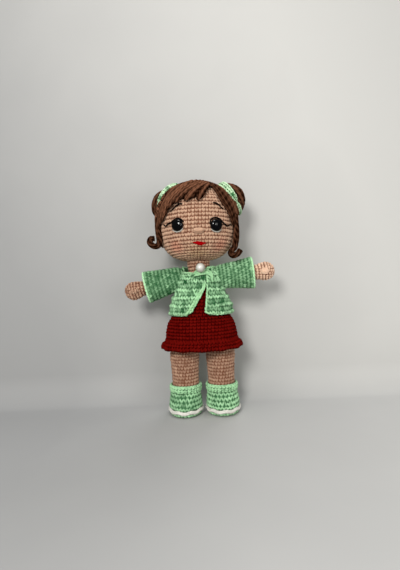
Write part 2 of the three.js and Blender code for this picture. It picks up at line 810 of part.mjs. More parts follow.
const skirtRows = [
  rowOf(skirtBottom, skirtHalfWidth, skirtHalfDepth),
  rowOf(
    (skirtBottom + waistHeight) / 2,
    (skirtHalfWidth * 2 + skirtTopHalfWidth) / 3 + gap,
    (skirtHalfDepth * 2 + skirtTopHalfDepth) / 3 + gap,
  ),
  rowOf(waistHeight - gap - gap, skirtTopHalfWidth, skirtTopHalfDepth),
];
const skirtInside = [
  rowOf(skirtBottom - gap, skirtHalfWidth - skirtWall, skirtHalfDepth - skirtWall),
  ...grownRows(skirtRows, -skirtWall).slice(1),
  rowOf(waistHeight + gap, skirtTopHalfWidth - skirtWall, skirtTopHalfDepth - skirtWall),
];
const skirtSolid = cut(
  turned(closedRows(skirtRows), bodySides),
  turned(closedRows(skirtInside), bodySides),
  turned(hipRows(gap), bodySides),
);

function ruffle() {
  const top = skirtBottom - gap;
  const belly = ruffleFlare * ruffleBellyShare;
  const inside = ruffleFlare - skirtWall;
  const rows = [
    rowOf(top, skirtHalfWidth - skirtWall, skirtHalfDepth - skirtWall),
    rowOf(top - ruffleHeight, skirtHalfWidth + inside, skirtHalfDepth + inside),
    rowOf(top - ruffleHeight, skirtHalfWidth + ruffleFlare, skirtHalfDepth + ruffleFlare),
    rowOf(top - ruffleHeight / 3, skirtHalfWidth + belly, skirtHalfDepth + belly),
    rowOf(top, skirtHalfWidth, skirtHalfDepth),
    rowOf(top, skirtHalfWidth - skirtWall, skirtHalfDepth - skirtWall),
  ];
  const profile = rows.map((row) => new THREE.Vector2(row.wide, row.up));
  const sides = ruffleWaves * 4;
  const geometry = new THREE.LatheGeometry(profile, sides);
  geometry.rotateX(Math.PI / 2);
  const place = geometry.getAttribute('position');
  for (let i = 0; i < place.count; i += 1) {
    const row = rows[i % rows.length];
    const turn = Math.floor(i / rows.length) % sides;
    const low = (top - row.up) / ruffleHeight;
    const wave = 1 + ((ruffleWave * low) / row.wide) * Math.cos((2 * Math.PI * ruffleWaves * turn) / sides);
    place.setX(i, place.getX(i) * wave);
    place.setY(i, ((place.getY(i) * row.deep) / row.wide) * wave);
  }
  return solidOf(geometry);
}

// Cardigan

function cardiganRows(growth) {
  const rows = bodyForm(growth, cardiganEase);
  rows[0] = rowOf(cardiganBottom, rows[0].wide, rows[0].deep);
  rows.push(rowOf(collarTop, collarRadius + growth, collarRadius + growth));
  return rows;
}

function cardiganForm(growth) {
  return turned(closedRows(cardiganRows(growth)), bodySides);
}

// An outline on the cardigan's front, as shares of its half width and of its height from the hem

function cardiganOutline(shares) {
  return shares.map((share) => ({
    across: share[0] * bodyHalfWidth,
    up: cardiganBottom + share[1] * (collarTop - cardiganBottom),
  }));
}

const coatOutside = cardiganForm(gap + cardiganWall);
const coatRows = cardiganRows(gap);
coatRows[0] = rowOf(cardiganBottom - gap, coatRows[0].wide, coatRows[0].deep);
coatRows.push(rowOf(collarTop + gap, collarRadius + gap, collarRadius + gap));
const coatInside = turned(closedRows(coatRows), bodySides);
const coatFront = -bodyHalfDepth * 3;
const opening = curtain(cardiganOutline([...cardiganRightEdgeShares, ...cardiganLeftEdgeShares]), 0, coatFront);
const neckline = curtain(cardiganOutline(necklineShares), 0, coatFront);
const sleevesGrown = leftArm.sleeveGrown.add(rightArm.sleeveGrown);
const cardiganSolid = cut(coatOutside, coatInside, opening, neckline, neckSweep, sleevesGrown, armSweeps);

const tabUnder = gap + cardiganWall + gap;
const aboveCollar = placed(rod(farAway, 0, farAway, smallSides), 0, 0, collarTop);
const tabLayer = cut(cardiganForm(tabUnder + tabWall), cardiganForm(tabUnder), aboveCollar);
const tabSolid = tabLayer.intersect(curtain(cardiganOutline(tabShares), 0, coatFront));
const pearlDepth = collarRadius + tabUnder + tabWall + pearlRadius - pearlSink;
const pearlHeight = collarTop - pearlDrop;
const pearlBall = placed(ball(pearlRadius, limbSides, arcSteps + 2), pearlAcross, -pearlDepth, pearlHeight);
const pearlSolid = cut(pearlBall, cardiganForm(tabUnder + tabWall + gap));

const dressGrown = turned(closedRows(grownRows(dressRows, gap)), bodySides);

// Neck

function neckProfile() {
  const rows = [rowOf(-neckFootRadius, 0)];
  for (let i = 1; i <= arcSteps; i += 1) {
    const angle = (Math.PI / 2) * (i / (arcSteps + 1) - 1);
    rows.push(rowOf(neckFootRadius * Math.sin(angle), neckFootRadius * Math.cos(angle)));
  }
  rows.push(rowOf(0, neckFootRadius));
  rows.push(rowOf(neckLength / 3, neckRadius));
  rows.push(rowOf(neckLength, neckRadius));
  rows.push(rowOf(neckLength, 0));
  return rows;
}

const neckSolid = placed(turned(neckProfile(), limbSides), 0, 0, neckHeight);

// The doll: one group for each part that moves, placed at its joint

const doll = new THREE.Group();

function bodyAt(place) {
  const group = new THREE.Group();
  group.position.copy(place);
  doll.add(group);
  return group;
}

function addPiece(group, name, solid, material) {
  const geometry = geometryOf(solid);
  geometry.translate(-group.position.x, -group.position.y, -group.position.z);
  const mesh = new THREE.Mesh(geometry, material);
  mesh.name = name;
  group.add(mesh);
}

const torso = bodyAt(new THREE.Vector3(0, 0, waistHeight));
addPiece(torso, 'bodice', bodiceSolid, dress);
addPiece(torso, 'torso_stuffing', bodyFilling, filling);
addPiece(torso, 'hips', hipSolid, skin);
addPiece(torso, 'skirt', skirtSolid, dress);
addPiece(torso, 'skirt_ruffle', ruffle(), dress);
addPiece(torso, 'cardigan', cardiganSolid, mint);
addPiece(torso, 'cardigan_tab', tabSolid, mint);
addPiece(torso, 'pearl_button', pearlSolid, pearl);

const neck = bodyAt(new THREE.Vector3(0, 0, neckHeight));
addPiece(neck, 'neck', neckSolid, skin);

const head = bodyAt(new THREE.Vector3(0, 0, headHeight));

function addToHead(name, solid, material) {
  addPiece(head, name, placed(solid, headCentre.x, headCentre.y, headCentre.z), material);
}

addToHead('head', headSolid, skin);
addToHead('head_stuffing', headFilling, filling);
addToHead('nose', noseSolid, skin);
addToHead('mouth', mouthSolid, redThread);
addToHead('hair_cap', capSolid, hair);
addToHead('fringe', fringeSolid, hair);
addToHead('side_sweep', sweepSolid, hair);

const faceSides = [
  ['left', leftEye, leftBrowShares, lashesOf(1, leftLashShares), leftLock, leftBun],
  ['right', rightEye, rightBrowShares, lashesOf(-1, rightLashShares), rightLock, rightBun],
];
faceSides.forEach(([side, eye, brow, lashes, lock, bun]) => {
  addToHead(`${side}_eye`, eye.eye, eyePlastic);
  addToHead(`${side}_eye_washer`, cut(eye.washer(0).intersect(washerLimit), eye.post(gap)), washerPlastic);
  addToHead(`${side}_eye_white`, eye.white, whiteYarn);
  addToHead(`${side}_brow`, threadOnHead(brow, arcSteps), blackThread);
  addToHead(`${side}_lashes`, lashes, blackThread);
  addToHead(`${side}_lock`, lock, hair);
  addToHead(`${side}_bun`, bun.bun, hair);
  addToHead(`${side}_bun_band`, bun.band, mint);
});

[['left', leftArm], ['right', rightArm]].forEach(([side, set]) => {
  const group = bodyAt(set.shoulder);
  addPiece(group, `${side}_arm`, set.arm, skin);
  addPiece(group, `${side}_arm_stuffing`, set.stuffing, filling);
  addPiece(group, `${side}_thumb`, set.thumb, skin);
  addPiece(group, `${side}_sleeve`, cut(set.sleeve, dressGrown), mint);
});

[['left', leftLeg], ['right', rightLeg]].forEach(([side, set]) => {
  const group = bodyAt(set.hip);
  addPiece(group, `${side}_leg`, set.leg, skin);
  addPiece(group, `${side}_leg_stuffing`, set.stuffing, filling);
  addPiece(group, `${side}_boot`, set.upper, mint);
  addPiece(group, `${side}_boot_cuff`, set.cuff, mint);
  addPiece(group, `${side}_boot_welt`, set.welt, whiteYarn);
  addPiece(group, `${side}_boot_sole`, set.sole, mint);
});

export default doll;
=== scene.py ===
"""The looks of a crocheted doll in a mint cardigan and a red dress, built stitch by stitch."""

import math

import bpy
import numpy as np
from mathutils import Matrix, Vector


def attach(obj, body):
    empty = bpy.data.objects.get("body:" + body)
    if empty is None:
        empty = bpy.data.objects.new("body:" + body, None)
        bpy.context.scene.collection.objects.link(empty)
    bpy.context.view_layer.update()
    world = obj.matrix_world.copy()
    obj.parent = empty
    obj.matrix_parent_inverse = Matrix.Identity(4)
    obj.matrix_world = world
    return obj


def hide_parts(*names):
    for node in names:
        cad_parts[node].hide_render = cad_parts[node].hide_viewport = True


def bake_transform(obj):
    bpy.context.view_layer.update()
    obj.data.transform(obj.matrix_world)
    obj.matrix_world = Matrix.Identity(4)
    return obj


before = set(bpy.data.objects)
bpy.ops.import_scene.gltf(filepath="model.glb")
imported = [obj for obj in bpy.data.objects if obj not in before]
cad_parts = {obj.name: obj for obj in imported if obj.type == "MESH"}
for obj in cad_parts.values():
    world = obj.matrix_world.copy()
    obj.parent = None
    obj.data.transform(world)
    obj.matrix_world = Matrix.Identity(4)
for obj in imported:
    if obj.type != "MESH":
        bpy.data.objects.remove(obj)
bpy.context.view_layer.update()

MM = 0.001
chance = np.random.default_rng(23)

# Sizes of the doll in millimetres, as in its CAD model, but for the fuller chin

HEAD_RADIUS, HEAD_RISE, HEAD_DROP, HEAD_FULLNESS, CHIN_FULLNESS, HEAD_HEIGHT = (
    38.0, 37.2, 38.5, 2.25, 2.7, 186.0
)
NECK_HEIGHT, NECK_LENGTH = 139.5, 18.5
WAIST_HEIGHT, BODY_HEIGHT, BODY_HALF_WIDTH, BODY_HALF_DEPTH = 92.0, 46.5, 28.4, 20.6
HIP_HEIGHT, HIP_ACROSS, LEG_RADIUS, ANKLE_HEIGHT, ANKLE_RADIUS, FOOT_BOTTOM = (
    57.0, 17.8, 14.4, 30.0, 13.2, 8.0
)
SKIRT_BOTTOM, RUFFLE_HEIGHT, RUFFLE_FLARE = 70.0, 7.2, 4.0
COAT_BOTTOM, COAT_WALL, COAT_EASE, COLLAR_TOP, COLLAR_RADIUS = 94.5, 2.4, 2.6, 141.5, 13.3
SHOULDER_ACROSS, SHOULDER_HEIGHT, ARM_LENGTH, ARM_RADIUS, HAND_RADIUS = 19.5, 131.5, 56.5, 8.5, 9.3
ARM_ANGLES = {"left": 4.5, "right": -13.0}
SLEEVE_LENGTH, SLEEVE_CUFF, SLEEVE_ROOT, SLEEVE_START, SLEEVE_FLAT = 34.0, 16.0, 10.7, 1.5, 0.8
BOOT_ACROSS = 18.2
BUN_RADIUS, BUN_REACH, BAND_WIDTH = 16.6, 39.2, 5.4
BUN_ANGLES = {"left": (33.4, 5.0), "right": (36.0, 24.0)}
RIBBON_ANGLES = {"left": (34.0, 5.0), "right": (44.0, 24.0)}
RIBBON_REACH = {"left": 41.8, "right": 39.6}
GAP = 0.3
SIDES = {"left": 1, "right": -1}

STITCH_WIDTH, STITCH_RISE, STITCH_THICK = 3.6, 3.3, 1.9
CHAIN_STEP = 0.6

FRINGE_EDGE = [
    (0.37, 0.82), (0.12, 0.54), (0.06, 0.43), (-0.03, 0.43), (-0.1, 0.53), (-0.25, 0.42), (-0.35, 0.46),
    (-0.49, 0.42), (-0.6, 0.39), (-0.65, 0.27), (-0.71, 0.2), (-0.77, 0.29), (-0.81, 0.12), (-0.87, -0.14),
]
SWEEP_EDGE = [
    (0.37, 0.82), (0.44, 0.76), (0.55, 0.53), (0.63, 0.35), (0.75, 0.18), (0.83, 0.02), (0.89, -0.16)
]
LOCKS = {
    "left": [
        (0.955, 0.44, 0.1), (0.985, 0.41, -0.12), (0.985, 0.42, -0.34), (0.97, 0.42, -0.55),
        (0.93, 0.42, -0.7), (0.85, 0.42, -0.8), (0.83, 0.42, -0.88), (0.9, 0.42, -0.925),
        (1, 0.42, -0.88), (1.07, 0.42, -0.79),
    ],
    "right": [
        (-0.955, 0.44, 0.1), (-0.985, 0.41, -0.12), (-0.965, 0.42, -0.34), (-0.955, 0.42, -0.5),
        (-1.01, 0.42, -0.6), (-1.12, 0.42, -0.6), (-1.2, 0.42, -0.51), (-1.17, 0.42, -0.42),
        (-1.09, 0.42, -0.41),
    ],
}
EYE_RADIUS, EYE_PROUD, EYE_PLACE = 5.0, 3.4, (0.465, -0.18)
EYE_HEIGHTS = {"left": -0.215, "right": -0.178}
NOSE_PLACE, MOUTH_PLACE = (0.035, -0.33), (0.045, -0.62)
BROWS = {
    "left": [(0.415, 0.325), (0.48, 0.325), (0.55, 0.285), (0.64, 0.195)],
    "right": [(-0.33, 0.335), (-0.41, 0.325), (-0.5, 0.275), (-0.63, 0.18)],
}
LASHES = {
    "left": [
        (-1.18, 0.11), (-0.91, 0.91), (-0.11, 1.22), (0.61, 1.03), (1.18, 0.53), (1.79, 0.0), (2.2, -0.15),
        (2.85, 0.3),
    ],
    "right": [
        (-1.14, 0.46), (-0.8, 0.91), (-0.11, 1.22), (0.61, 1.03), (1.18, 0.65), (1.79, 0.49), (2.28, 0.23),
        (2.7, 0.53),
    ],
}
COAT_RIGHT_EDGE = [
    (0.232, 0.84), (0.211, 0.67), (0.106, 0.564), (-0.067, 0.357), (-0.236, 0.157), (-0.423, 0.028),
    (-0.704, -0.053),
]
COAT_LEFT_EDGE = [
    (0.423, -0.053), (0.225, 0.045), (0.141, 0.138), (0.19, 0.372), (0.239, 0.564), (0.261, 0.84)
]

# Materials


def linear(red, green, blue):
    """A colour as it looks on screen, 0 to 255, as the shader wants it."""
    shares = (red / 255, green / 255, blue / 255)
    return tuple(c / 12.92 if c <= 0.04045 else ((c + 0.055) / 1.055) ** 2.4 for c in shares) + (1.0,)


def wire(tree, source, target):
    tree.links.new(source, target)


def new_finish(name, roughness, sheen=0.0, gloss=0.5):
    finish = bpy.data.materials.new(name)
    finish.use_nodes = True
    shader = finish.node_tree.nodes["Principled BSDF"]
    shader.inputs["Roughness"].default_value = roughness
    shader.inputs["Specular IOR Level"].default_value = gloss
    shader.inputs["Sheen Weight"].default_value = sheen
    shader.inputs["Sheen Roughness"].default_value = 0.45
    return finish, finish.node_tree, shader


def math_node(tree, operation, first, second=None):
    node = tree.nodes.new("ShaderNodeMath")
    node.operation = operation
    for socket, value in zip(node.inputs, (first, second)):
        if value is None:
            continue
        if isinstance(value, (int, float)):
            socket.default_value = value
        else:
            wire(tree, value, socket)
    return node.outputs[0]


def blend_colours(tree, share, first, second):
    node = tree.nodes.new("ShaderNodeMix")
    node.data_type = "RGBA"
    for socket, value in ((node.inputs[0], share), (node.inputs[6], first), (node.inputs[7], second)):
        if isinstance(value, (tuple, float)):
            socket.default_value = value
        else:
            wire(tree, value, socket)
    return node.outputs[2]


def noise(tree, scale, detail, coordinates):
    node = tree.nodes.new("ShaderNodeTexNoise")
    node.inputs["Scale"].default_value = scale
    node.inputs["Detail"].default_value = detail
    wire(tree, coordinates, node.inputs["Vector"])
    return node.outputs["Fac"]


def yarn_finish(
    name, light, dark, sheen=0.0, plies=3, twist=900.0, fleck=0.35, blush_and_painted_shade=None, gloss=0.05, ply_tone=0.07
):
    """Spun yarn: its tone on each stitch, which holds painted shade and highlight, a fine fleck, the twist of
    its plies and a little fuzz. Its tints add the cheeks' blush and painted shade under the chin.
    """
    finish, tree, shader = new_finish(name, 0.85, sheen, gloss)
    place = tree.nodes.new("ShaderNodeTexCoord").outputs["Object"]
    tone = tree.nodes.new("ShaderNodeAttribute")
    tone.attribute_name = "tone"
    strand = tree.nodes.new("ShaderNodeAttribute")
    strand.attribute_name = "strand"
    parts = tree.nodes.new("ShaderNodeSeparateXYZ")
    wire(tree, strand.outputs["Vector"], parts.inputs[0])
    around = math_node(tree, "ARCTAN2", parts.outputs[1], parts.outputs[0])
    turned = math_node(
        tree, "ADD", math_node(tree, "MULTIPLY", around, float(plies)),
        math_node(tree, "MULTIPLY", parts.outputs[2], twist),
    )
    ply = math_node(tree, "SINE", turned)
    flecks = noise(tree, 1500.0, 3.0, place)
    cloudy = noise(tree, 160.0, 2.0, place)
    depth = math_node(
        tree, "ADD", tone.outputs["Fac"],
        math_node(tree, "MULTIPLY", math_node(tree, "SUBTRACT", flecks, 0.5), fleck),
    )
    depth = math_node(
        tree, "ADD", depth, math_node(tree, "MULTIPLY", math_node(tree, "SUBTRACT", cloudy, 0.5), fleck * 0.6)
    )
    depth = math_node(tree, "ADD", depth, math_node(tree, "MULTIPLY", ply, ply_tone))
    clamp = tree.nodes.new("ShaderNodeClamp")
    wire(tree, depth, clamp.inputs[0])
    colour = blend_colours(tree, clamp.outputs[0], linear(*dark), linear(*light))
    # each tint multiplies the colour round a place: the real blush on the cheeks, and painted shade under the
    # chin
    for centre, reach, tint in blush_and_painted_shade or ():
        distance = tree.nodes.new("ShaderNodeVectorMath")
        distance.operation = "DISTANCE"
        wire(tree, place, distance.inputs[0])
        distance.inputs[1].default_value = tuple(c * MM for c in centre)
        fade = tree.nodes.new("ShaderNodeMapRange")
        fade.interpolation_type = "SMOOTHSTEP"
        wire(tree, distance.outputs["Value"], fade.inputs["Value"])
        fade.inputs["From Min"].default_value = 0.0
        fade.inputs["From Max"].default_value = reach * MM
        fade.inputs["To Min"].default_value = 0.62
        fade.inputs["To Max"].default_value = 0.0
        tint_mix = tree.nodes.new("ShaderNodeMix")
        tint_mix.data_type = "RGBA"
        tint_mix.blend_type = "MULTIPLY"
        wire(tree, fade.outputs[0], tint_mix.inputs[0])
        wire(tree, colour, tint_mix.inputs[6])
        tint_mix.inputs[7].default_value = linear(*tint)
        colour = tint_mix.outputs[2]
    wire(tree, colour, shader.inputs["Base Color"])
    height = math_node(
        tree, "ADD", math_node(tree, "MULTIPLY", ply, 0.5), math_node(tree, "MULTIPLY", flecks, 0.8)
    )
    bump = tree.nodes.new("ShaderNodeBump")
    bump.inputs["Strength"].default_value = 0.45
    bump.inputs["Distance"].default_value = 0.00022
    wire(tree, height, bump.inputs["Height"])
    wire(tree, bump.outputs[0], shader.inputs["Normal"])
    return finish


CHEEKS = [((-23.5, -29.0, 156.5), 14.0, (255, 146, 132)), ((25.5, -28.5, 157.0), 14.0, (255, 146, 132))]
# painted shade: a darker, greener tint under the chin, where little light falls
CHIN = [((0.0, -27.0, 151.5), 17.0, (222, 228, 200))]
FINISHES = {
    "skin": yarn_finish("skin_yarn", (205, 168, 141), (112, 62, 40), sheen=0.03, blush_and_painted_shade=CHEEKS + CHIN),
    # painted light: a lighter copy of the skin yarn for the doll's left hand and thumb, which are more
    # brightly lit
    "painted_lit_skin": yarn_finish("painted_lit_skin_yarn", (238, 202, 174), (122, 70, 46)),
    "red": yarn_finish("red_yarn", (106, 14, 9), (50, 0, 0), gloss=0.0),
    "mint": yarn_finish("mint_yarn", (184, 232, 182), (34, 92, 50), sheen=0.03),
    # painted light: a lighter, lower-contrast copy of the mint yarn for the raised edging and tab, which
    # catch more light
    "mint_painted_light": yarn_finish("mint_yarn_painted_light", (180, 228, 176), (60, 124, 72), sheen=0.03),
    "ribbon": yarn_finish("ribbon_yarn", (216, 246, 206), (30, 112, 56), sheen=0.03, fleck=0.5),
    "hair": yarn_finish(
        "hair_yarn", (152, 102, 76), (18, 4, 0), plies=2, twist=1100.0, fleck=0.45, gloss=0.0, ply_tone=0.12
    ),
    "white": yarn_finish("white_yarn", (236, 233, 224), (130, 128, 120), sheen=0.03),
    "black": yarn_finish("black_thread", (16, 12, 11), (3, 2, 2)),
    "lip": yarn_finish("lip_thread", (170, 6, 12), (100, 2, 6), gloss=0.0),
}


def eye_finish():
    finish, tree, shader = new_finish("eye_plastic", 0.08, gloss=0.45)
    place = tree.nodes.new("ShaderNodeTexCoord").outputs["Object"]
    share = noise(tree, 700.0, 2.0, place)
    wire(tree, blend_colours(tree, share, linear(5, 5, 6), linear(12, 12, 14)), shader.inputs["Base Color"])
    return finish


def pearl_finish():
    finish, tree, shader = new_finish("pearl_plastic", 0.2)
    place = tree.nodes.new("ShaderNodeTexCoord").outputs["Object"]
    share = noise(tree, 420.0, 3.0, place)
    # painted highlight: the pearl is lighter round a point on its upper left front, with painted shade greyer
    # toward its rim
    distance = tree.nodes.new("ShaderNodeVectorMath")
    distance.operation = "DISTANCE"
    wire(tree, place, distance.inputs[0])
    distance.inputs[1].default_value = (0.0006, -0.0265, 0.1418)
    fade = math_node(
        tree, "ADD", math_node(tree, "MULTIPLY", distance.outputs["Value"], 165.0),
        math_node(tree, "MULTIPLY", share, 0.25),
    )
    clamp = tree.nodes.new("ShaderNodeClamp")
    wire(tree, fade, clamp.inputs[0])
    wire(
        tree, blend_colours(tree, clamp.outputs[0], linear(250, 251, 244), linear(172, 170, 158)),
        shader.inputs["Base Color"],
    )
    shader.inputs["Coat Weight"].default_value = 0.8
    shader.inputs["Coat Roughness"].default_value = 0.1
    return finish


# One leg of a stitch, modelled once


LOBE_FOOT = -0.12


def in_order(faces):
    """The same faces, sorted by their points, so that each run gives the same mesh."""
    return np.array(sorted(tuple(face) for face in faces))


def model_lobe(segments, rings, foot_share):
    """A short plump length of yarn along +Y, 1 long and 1 across, thinner at its foot."""
    bpy.ops.object.select_all(action="DESELECT")
    bpy.ops.mesh.primitive_uv_sphere_add(
        segments=segments, ring_count=rings, radius=0.5, rotation=(-math.pi / 2, 0, 0)
    )
    lobe = bpy.context.active_object
    bpy.ops.object.transform_apply(location=False, rotation=True, scale=True)
    bpy.ops.object.mode_set(mode="EDIT")
    bpy.ops.mesh.select_all(action="DESELECT")
    bpy.ops.object.mode_set(mode="OBJECT")
    for vertex in lobe.data.vertices:
        vertex.select = vertex.co.y < LOBE_FOOT
    bpy.ops.object.mode_set(mode="EDIT")
    bpy.ops.transform.resize(value=(foot_share, 1, foot_share), center_override=(0, -0.5, 0))
    bpy.ops.object.mode_set(mode="OBJECT")
    points = np.array([v.co for v in lobe.data.vertices])
    quads, tris = (
        in_order([p.vertices[:] for p in lobe.data.polygons if len(p.vertices) == n]) for n in (4, 3)
    )
    bpy.data.objects.remove(lobe)
    return points, quads, tris


LOBE = model_lobe(6, 6, 0.72)


class Pattern:
    """Copies of the lobe laid out as one stitch, each (across, up, out, turn, long, wide, thick).

    All but the turn, which is in degrees, are shares of the stitch's own width, rise and thickness.
    """

    def __init__(self, lobes):
        points, quads, tris = LOBE
        self.points, self.strand, self.quads, self.tris = [], [], [], []
        for across, up, out, turn, long, wide, thick in lobes:
            start = sum(len(p) for p in self.points)
            angle = math.radians(turn)
            local = points * (wide, long, thick)
            x = local[:, 0] * math.cos(angle) - local[:, 1] * math.sin(angle) + across
            y = local[:, 0] * math.sin(angle) + local[:, 1] * math.cos(angle) + up
            self.points.append(np.stack([x, y, local[:, 2] + out], 1))
            self.strand.append(
                np.stack([points[:, 0] * 2, points[:, 2] * 2, points[:, 1] * long * STITCH_RISE * MM], 1)
            )
            self.quads.append(quads + start)
            self.tris.append(tris + start)
        self.points, self.strand = np.concatenate(self.points), np.concatenate(self.strand)
        self.quads, self.tris = np.concatenate(self.quads), np.concatenate(self.tris)


VEE = Pattern([(-0.2, 0.03, 0.04, 17, 1.12, 0.54, 1.0), (0.2, -0.03, -0.03, -19, 1.08, 0.52, 0.95)])
BLOCK = Pattern([(-0.19, 0.02, 0.03, 11, 1.05, 0.54, 1.0), (0.19, -0.02, -0.03, -14, 1.02, 0.52, 0.95)])
TICK = Pattern([(-0.18, 0.0, 0.03, 12, 1.2, 0.47, 1.0), (0.18, -0.02, -0.03, -14, 1.16, 0.45, 0.95)])
OPEN_VEE = Pattern([(-0.21, 0.0, 0.03, 26, 1.22, 0.46, 1.0), (0.21, -0.02, -0.03, -28, 1.18, 0.44, 0.95)])


# The stitches of each piece: their size, form and tone

FACE_STITCH = dict(rise=3.6, width=3.25, pattern=BLOCK, lift=-0.85, painted_highlight=0.2, step=6, drift=0.06)
# shade: painted shade on the neck, under the chin
NECK_STITCH = dict(width=3.3, pattern=BLOCK, lift=-0.85, shade=-0.22)
RIBBON_STITCH = dict(rise=2.6, width=3.0, thick=1.6, lift=-0.5, spread=0.2, lean=10)
BODICE_STITCH = dict(pattern=BLOCK, lift=-0.85, painted_highlight=0.1)
HIPS_STITCH = dict(lift=-0.85)
SKIRT_STITCH = dict(width=3.5, pattern=BLOCK, lift=-0.85, painted_highlight=0.12, drift=0.06)
RUFFLE_STITCH = dict(width=3.4, thick=2.2, lift=-0.7, spread=0.14, lean=-16, taller=1.08)
HEM_LINING_STITCH = dict(lift=1.6, inward=True, thick=1.3)
COAT_STITCH = dict(pattern=OPEN_VEE, drift=0.5, uneven=2.0, wave=0.4)
COAT_VALLEY_STITCH = dict(
    COAT_STITCH, rise=4.6, width=3.6, thick=2.6, lift=-0.7, taller=1.18, spread=0.18, painted_highlight=0.12
)
COAT_RIDGE_STITCH = dict(
    COAT_STITCH, rise=4.1, width=3.5, thick=2.6, lift=-0.5, taller=1.14, spread=0.2, painted_highlight=0.18
)
COAT_YOKE_STITCH = dict(COAT_STITCH, rise=3.6, width=3.7, thick=2.4, lift=-0.6, taller=1.12, spread=0.24)
HAND_STITCH = dict(rise=3.1, width=3.3, thick=1.8, pattern=BLOCK, lift=-0.8, painted_highlight=0.2)
THUMB_STITCH = dict(rise=2.6, width=2.8, thick=1.5, lift=-0.5)
SLEEVE_STITCH = dict(
    rise=3.8, width=3.25, thick=2.4, pattern=OPEN_VEE, lift=-0.9, spread=0.12, painted_highlight=0.12, taller=1.12,
    drift=0.5, uneven=1.2,
)
SLEEVE_LINING_STITCH = dict(rise=3.4, width=3.5, thick=1.4, lift=1.6, inward=True)
# shade: painted shade on the legs, under the skirt
LEG_STITCH = dict(
    rise=3.2, width=3.3, pattern=TICK, thick=2.1, lift=-0.9, painted_highlight=0.06, shade=-0.2, spread=0.1, drift=0.2,
    taller=0.98,
)
BOOT_STITCH = dict(
    rise=3.9, width=3.8, thick=2.3, pattern=OPEN_VEE, lift=-0.75, spread=0.13, taller=1.0, painted_highlight=0.12,
    drift=0.5, uneven=1.5,
)
CUFF_STITCH = dict(width=3.5, thick=2.1, lift=-0.6, rows=[-0.4, 2.1, 4.9], rise=3.6, spread=0.16, lean=-28)
SOLE_EDGE_STITCH = dict(rise=2.9, width=3.4, thick=1.7, lift=-0.75, spread=0.16)
# shade: painted shade on the underside of the sole
SOLE_STITCH = dict(rise=3.2, width=3.6, thick=1.5, lift=-0.05, spread=0.12, shade=-0.1)
# painted shade and light on each side: hands, sleeves and boots made lighter or darker as the lamps light
# them, the sleeves darker for the shade in their deep stitches
HAND_PAINTED_SHADE = {"left": -0.02, "right": -0.2}
SLEEVE_PAINTED_SHADE = {"left": -0.42, "right": -0.56}
BOOT_PAINTED_SHADE = {"left": -0.08, "right": -0.3}


# Pieces are gathered as arrays and made into one mesh each


class Yarnwork:
    def __init__(self):
        self.points, self.strand, self.tone, self.quads, self.tris, self.count = [], [], [], [], [], 0

    def add(self, points, quads=None, tris=None, strand=None, tone=0.5):
        points = np.asarray(points, float).reshape(-1, 3)
        size = len(points)
        self.points.append(points)
        self.strand.append(
            np.tile((1.0, 0.0, 0.0), (size, 1)) if strand is None
            else np.asarray(strand, float).reshape(-1, 3)
        )
        self.tone.append(
            np.broadcast_to(np.asarray(tone, float).ravel(), (size,)) if np.ndim(tone)
            else np.full(size, float(tone))
        )
        if quads is not None and len(quads):
            self.quads.append(np.asarray(quads).reshape(-1, 4) + self.count)
        if tris is not None and len(tris):
            self.tris.append(np.asarray(tris).reshape(-1, 3) + self.count)
        self.count += size

    def make(self, name, finish):
        points = np.concatenate(self.points) * MM
        quads = np.concatenate(self.quads) if self.quads else np.zeros((0, 4), int)
        tris = np.concatenate(self.tris) if self.tris else np.zeros((0, 3), int)
        mesh = bpy.data.meshes.new(name)
        mesh.vertices.add(len(points))
        mesh.vertices.foreach_set("co", points.astype(np.float32).ravel())
        mesh.loops.add(quads.size + tris.size)
        mesh.loops.foreach_set("vertex_index", np.concatenate([quads.ravel(), tris.ravel()]).astype(np.int32))
        mesh.polygons.add(len(quads) + len(tris))
        starts = np.concatenate([np.arange(len(quads)) * 4, quads.size + np.arange(len(tris)) * 3])
        mesh.polygons.foreach_set("loop_start", starts.astype(np.int32))
        mesh.update(calc_edges=True)
        mesh.polygons.foreach_set("use_smooth", np.ones(len(starts), bool))
        # tone: each point's random tone together with its painted shade and highlight, read by the finish
        tone = mesh.attributes.new("tone", "FLOAT", "POINT")
        tone.data.foreach_set("value", np.concatenate(self.tone).astype(np.float32))
        strand = mesh.attributes.new("strand", "FLOAT_VECTOR", "POINT")
        strand.data.foreach_set("vector", np.concatenate(self.strand).astype(np.float32).ravel())
        mesh.validate()
        mesh.materials.append(FINISHES[finish])
        piece = bpy.data.objects.new(name, mesh)
        bpy.context.scene.collection.objects.link(piece)
        return piece


# Surfaces that the stitches follow


def unit(vectors):
    """The same directions, each with a length of one."""
    return vectors / np.maximum(np.linalg.norm(vectors, axis=-1, keepdims=True), 1e-9)


def smooth_rows(rows, count):
    """Rows (up, wide, deep, ahead) joined by a smooth curve, and the length along it to each of them."""
    rows = np.array(rows, float)
    steps = np.hypot(np.diff(rows[:, 0]), np.diff(rows[:, 1:3].mean(1)))
    at = np.concatenate([[0], np.cumsum(np.maximum(steps, 1e-6))])
    slope = np.gradient(rows, at, axis=0)
    fine = np.linspace(0, at[-1], count)
    k = np.clip(np.searchsorted(at, fine, side="right") - 1, 0, len(at) - 2)
    span = (at[k + 1] - at[k])[:, None]
    t = ((fine - at[k]) / span[:, 0])[:, None]
    curve = (
        (2 * t**3 - 3 * t**2 + 1) * rows[k]
        + (t**3 - 2 * t**2 + t) * span * slope[k]
        + (3 * t**2 - 2 * t**3) * rows[k + 1]
        + (t**3 - t**2) * span * slope[k + 1]
    )
    steps = np.hypot(np.diff(curve[:, 0]), np.diff(curve[:, 1:3].mean(1)))
    return curve, np.concatenate([[0], np.cumsum(steps)])


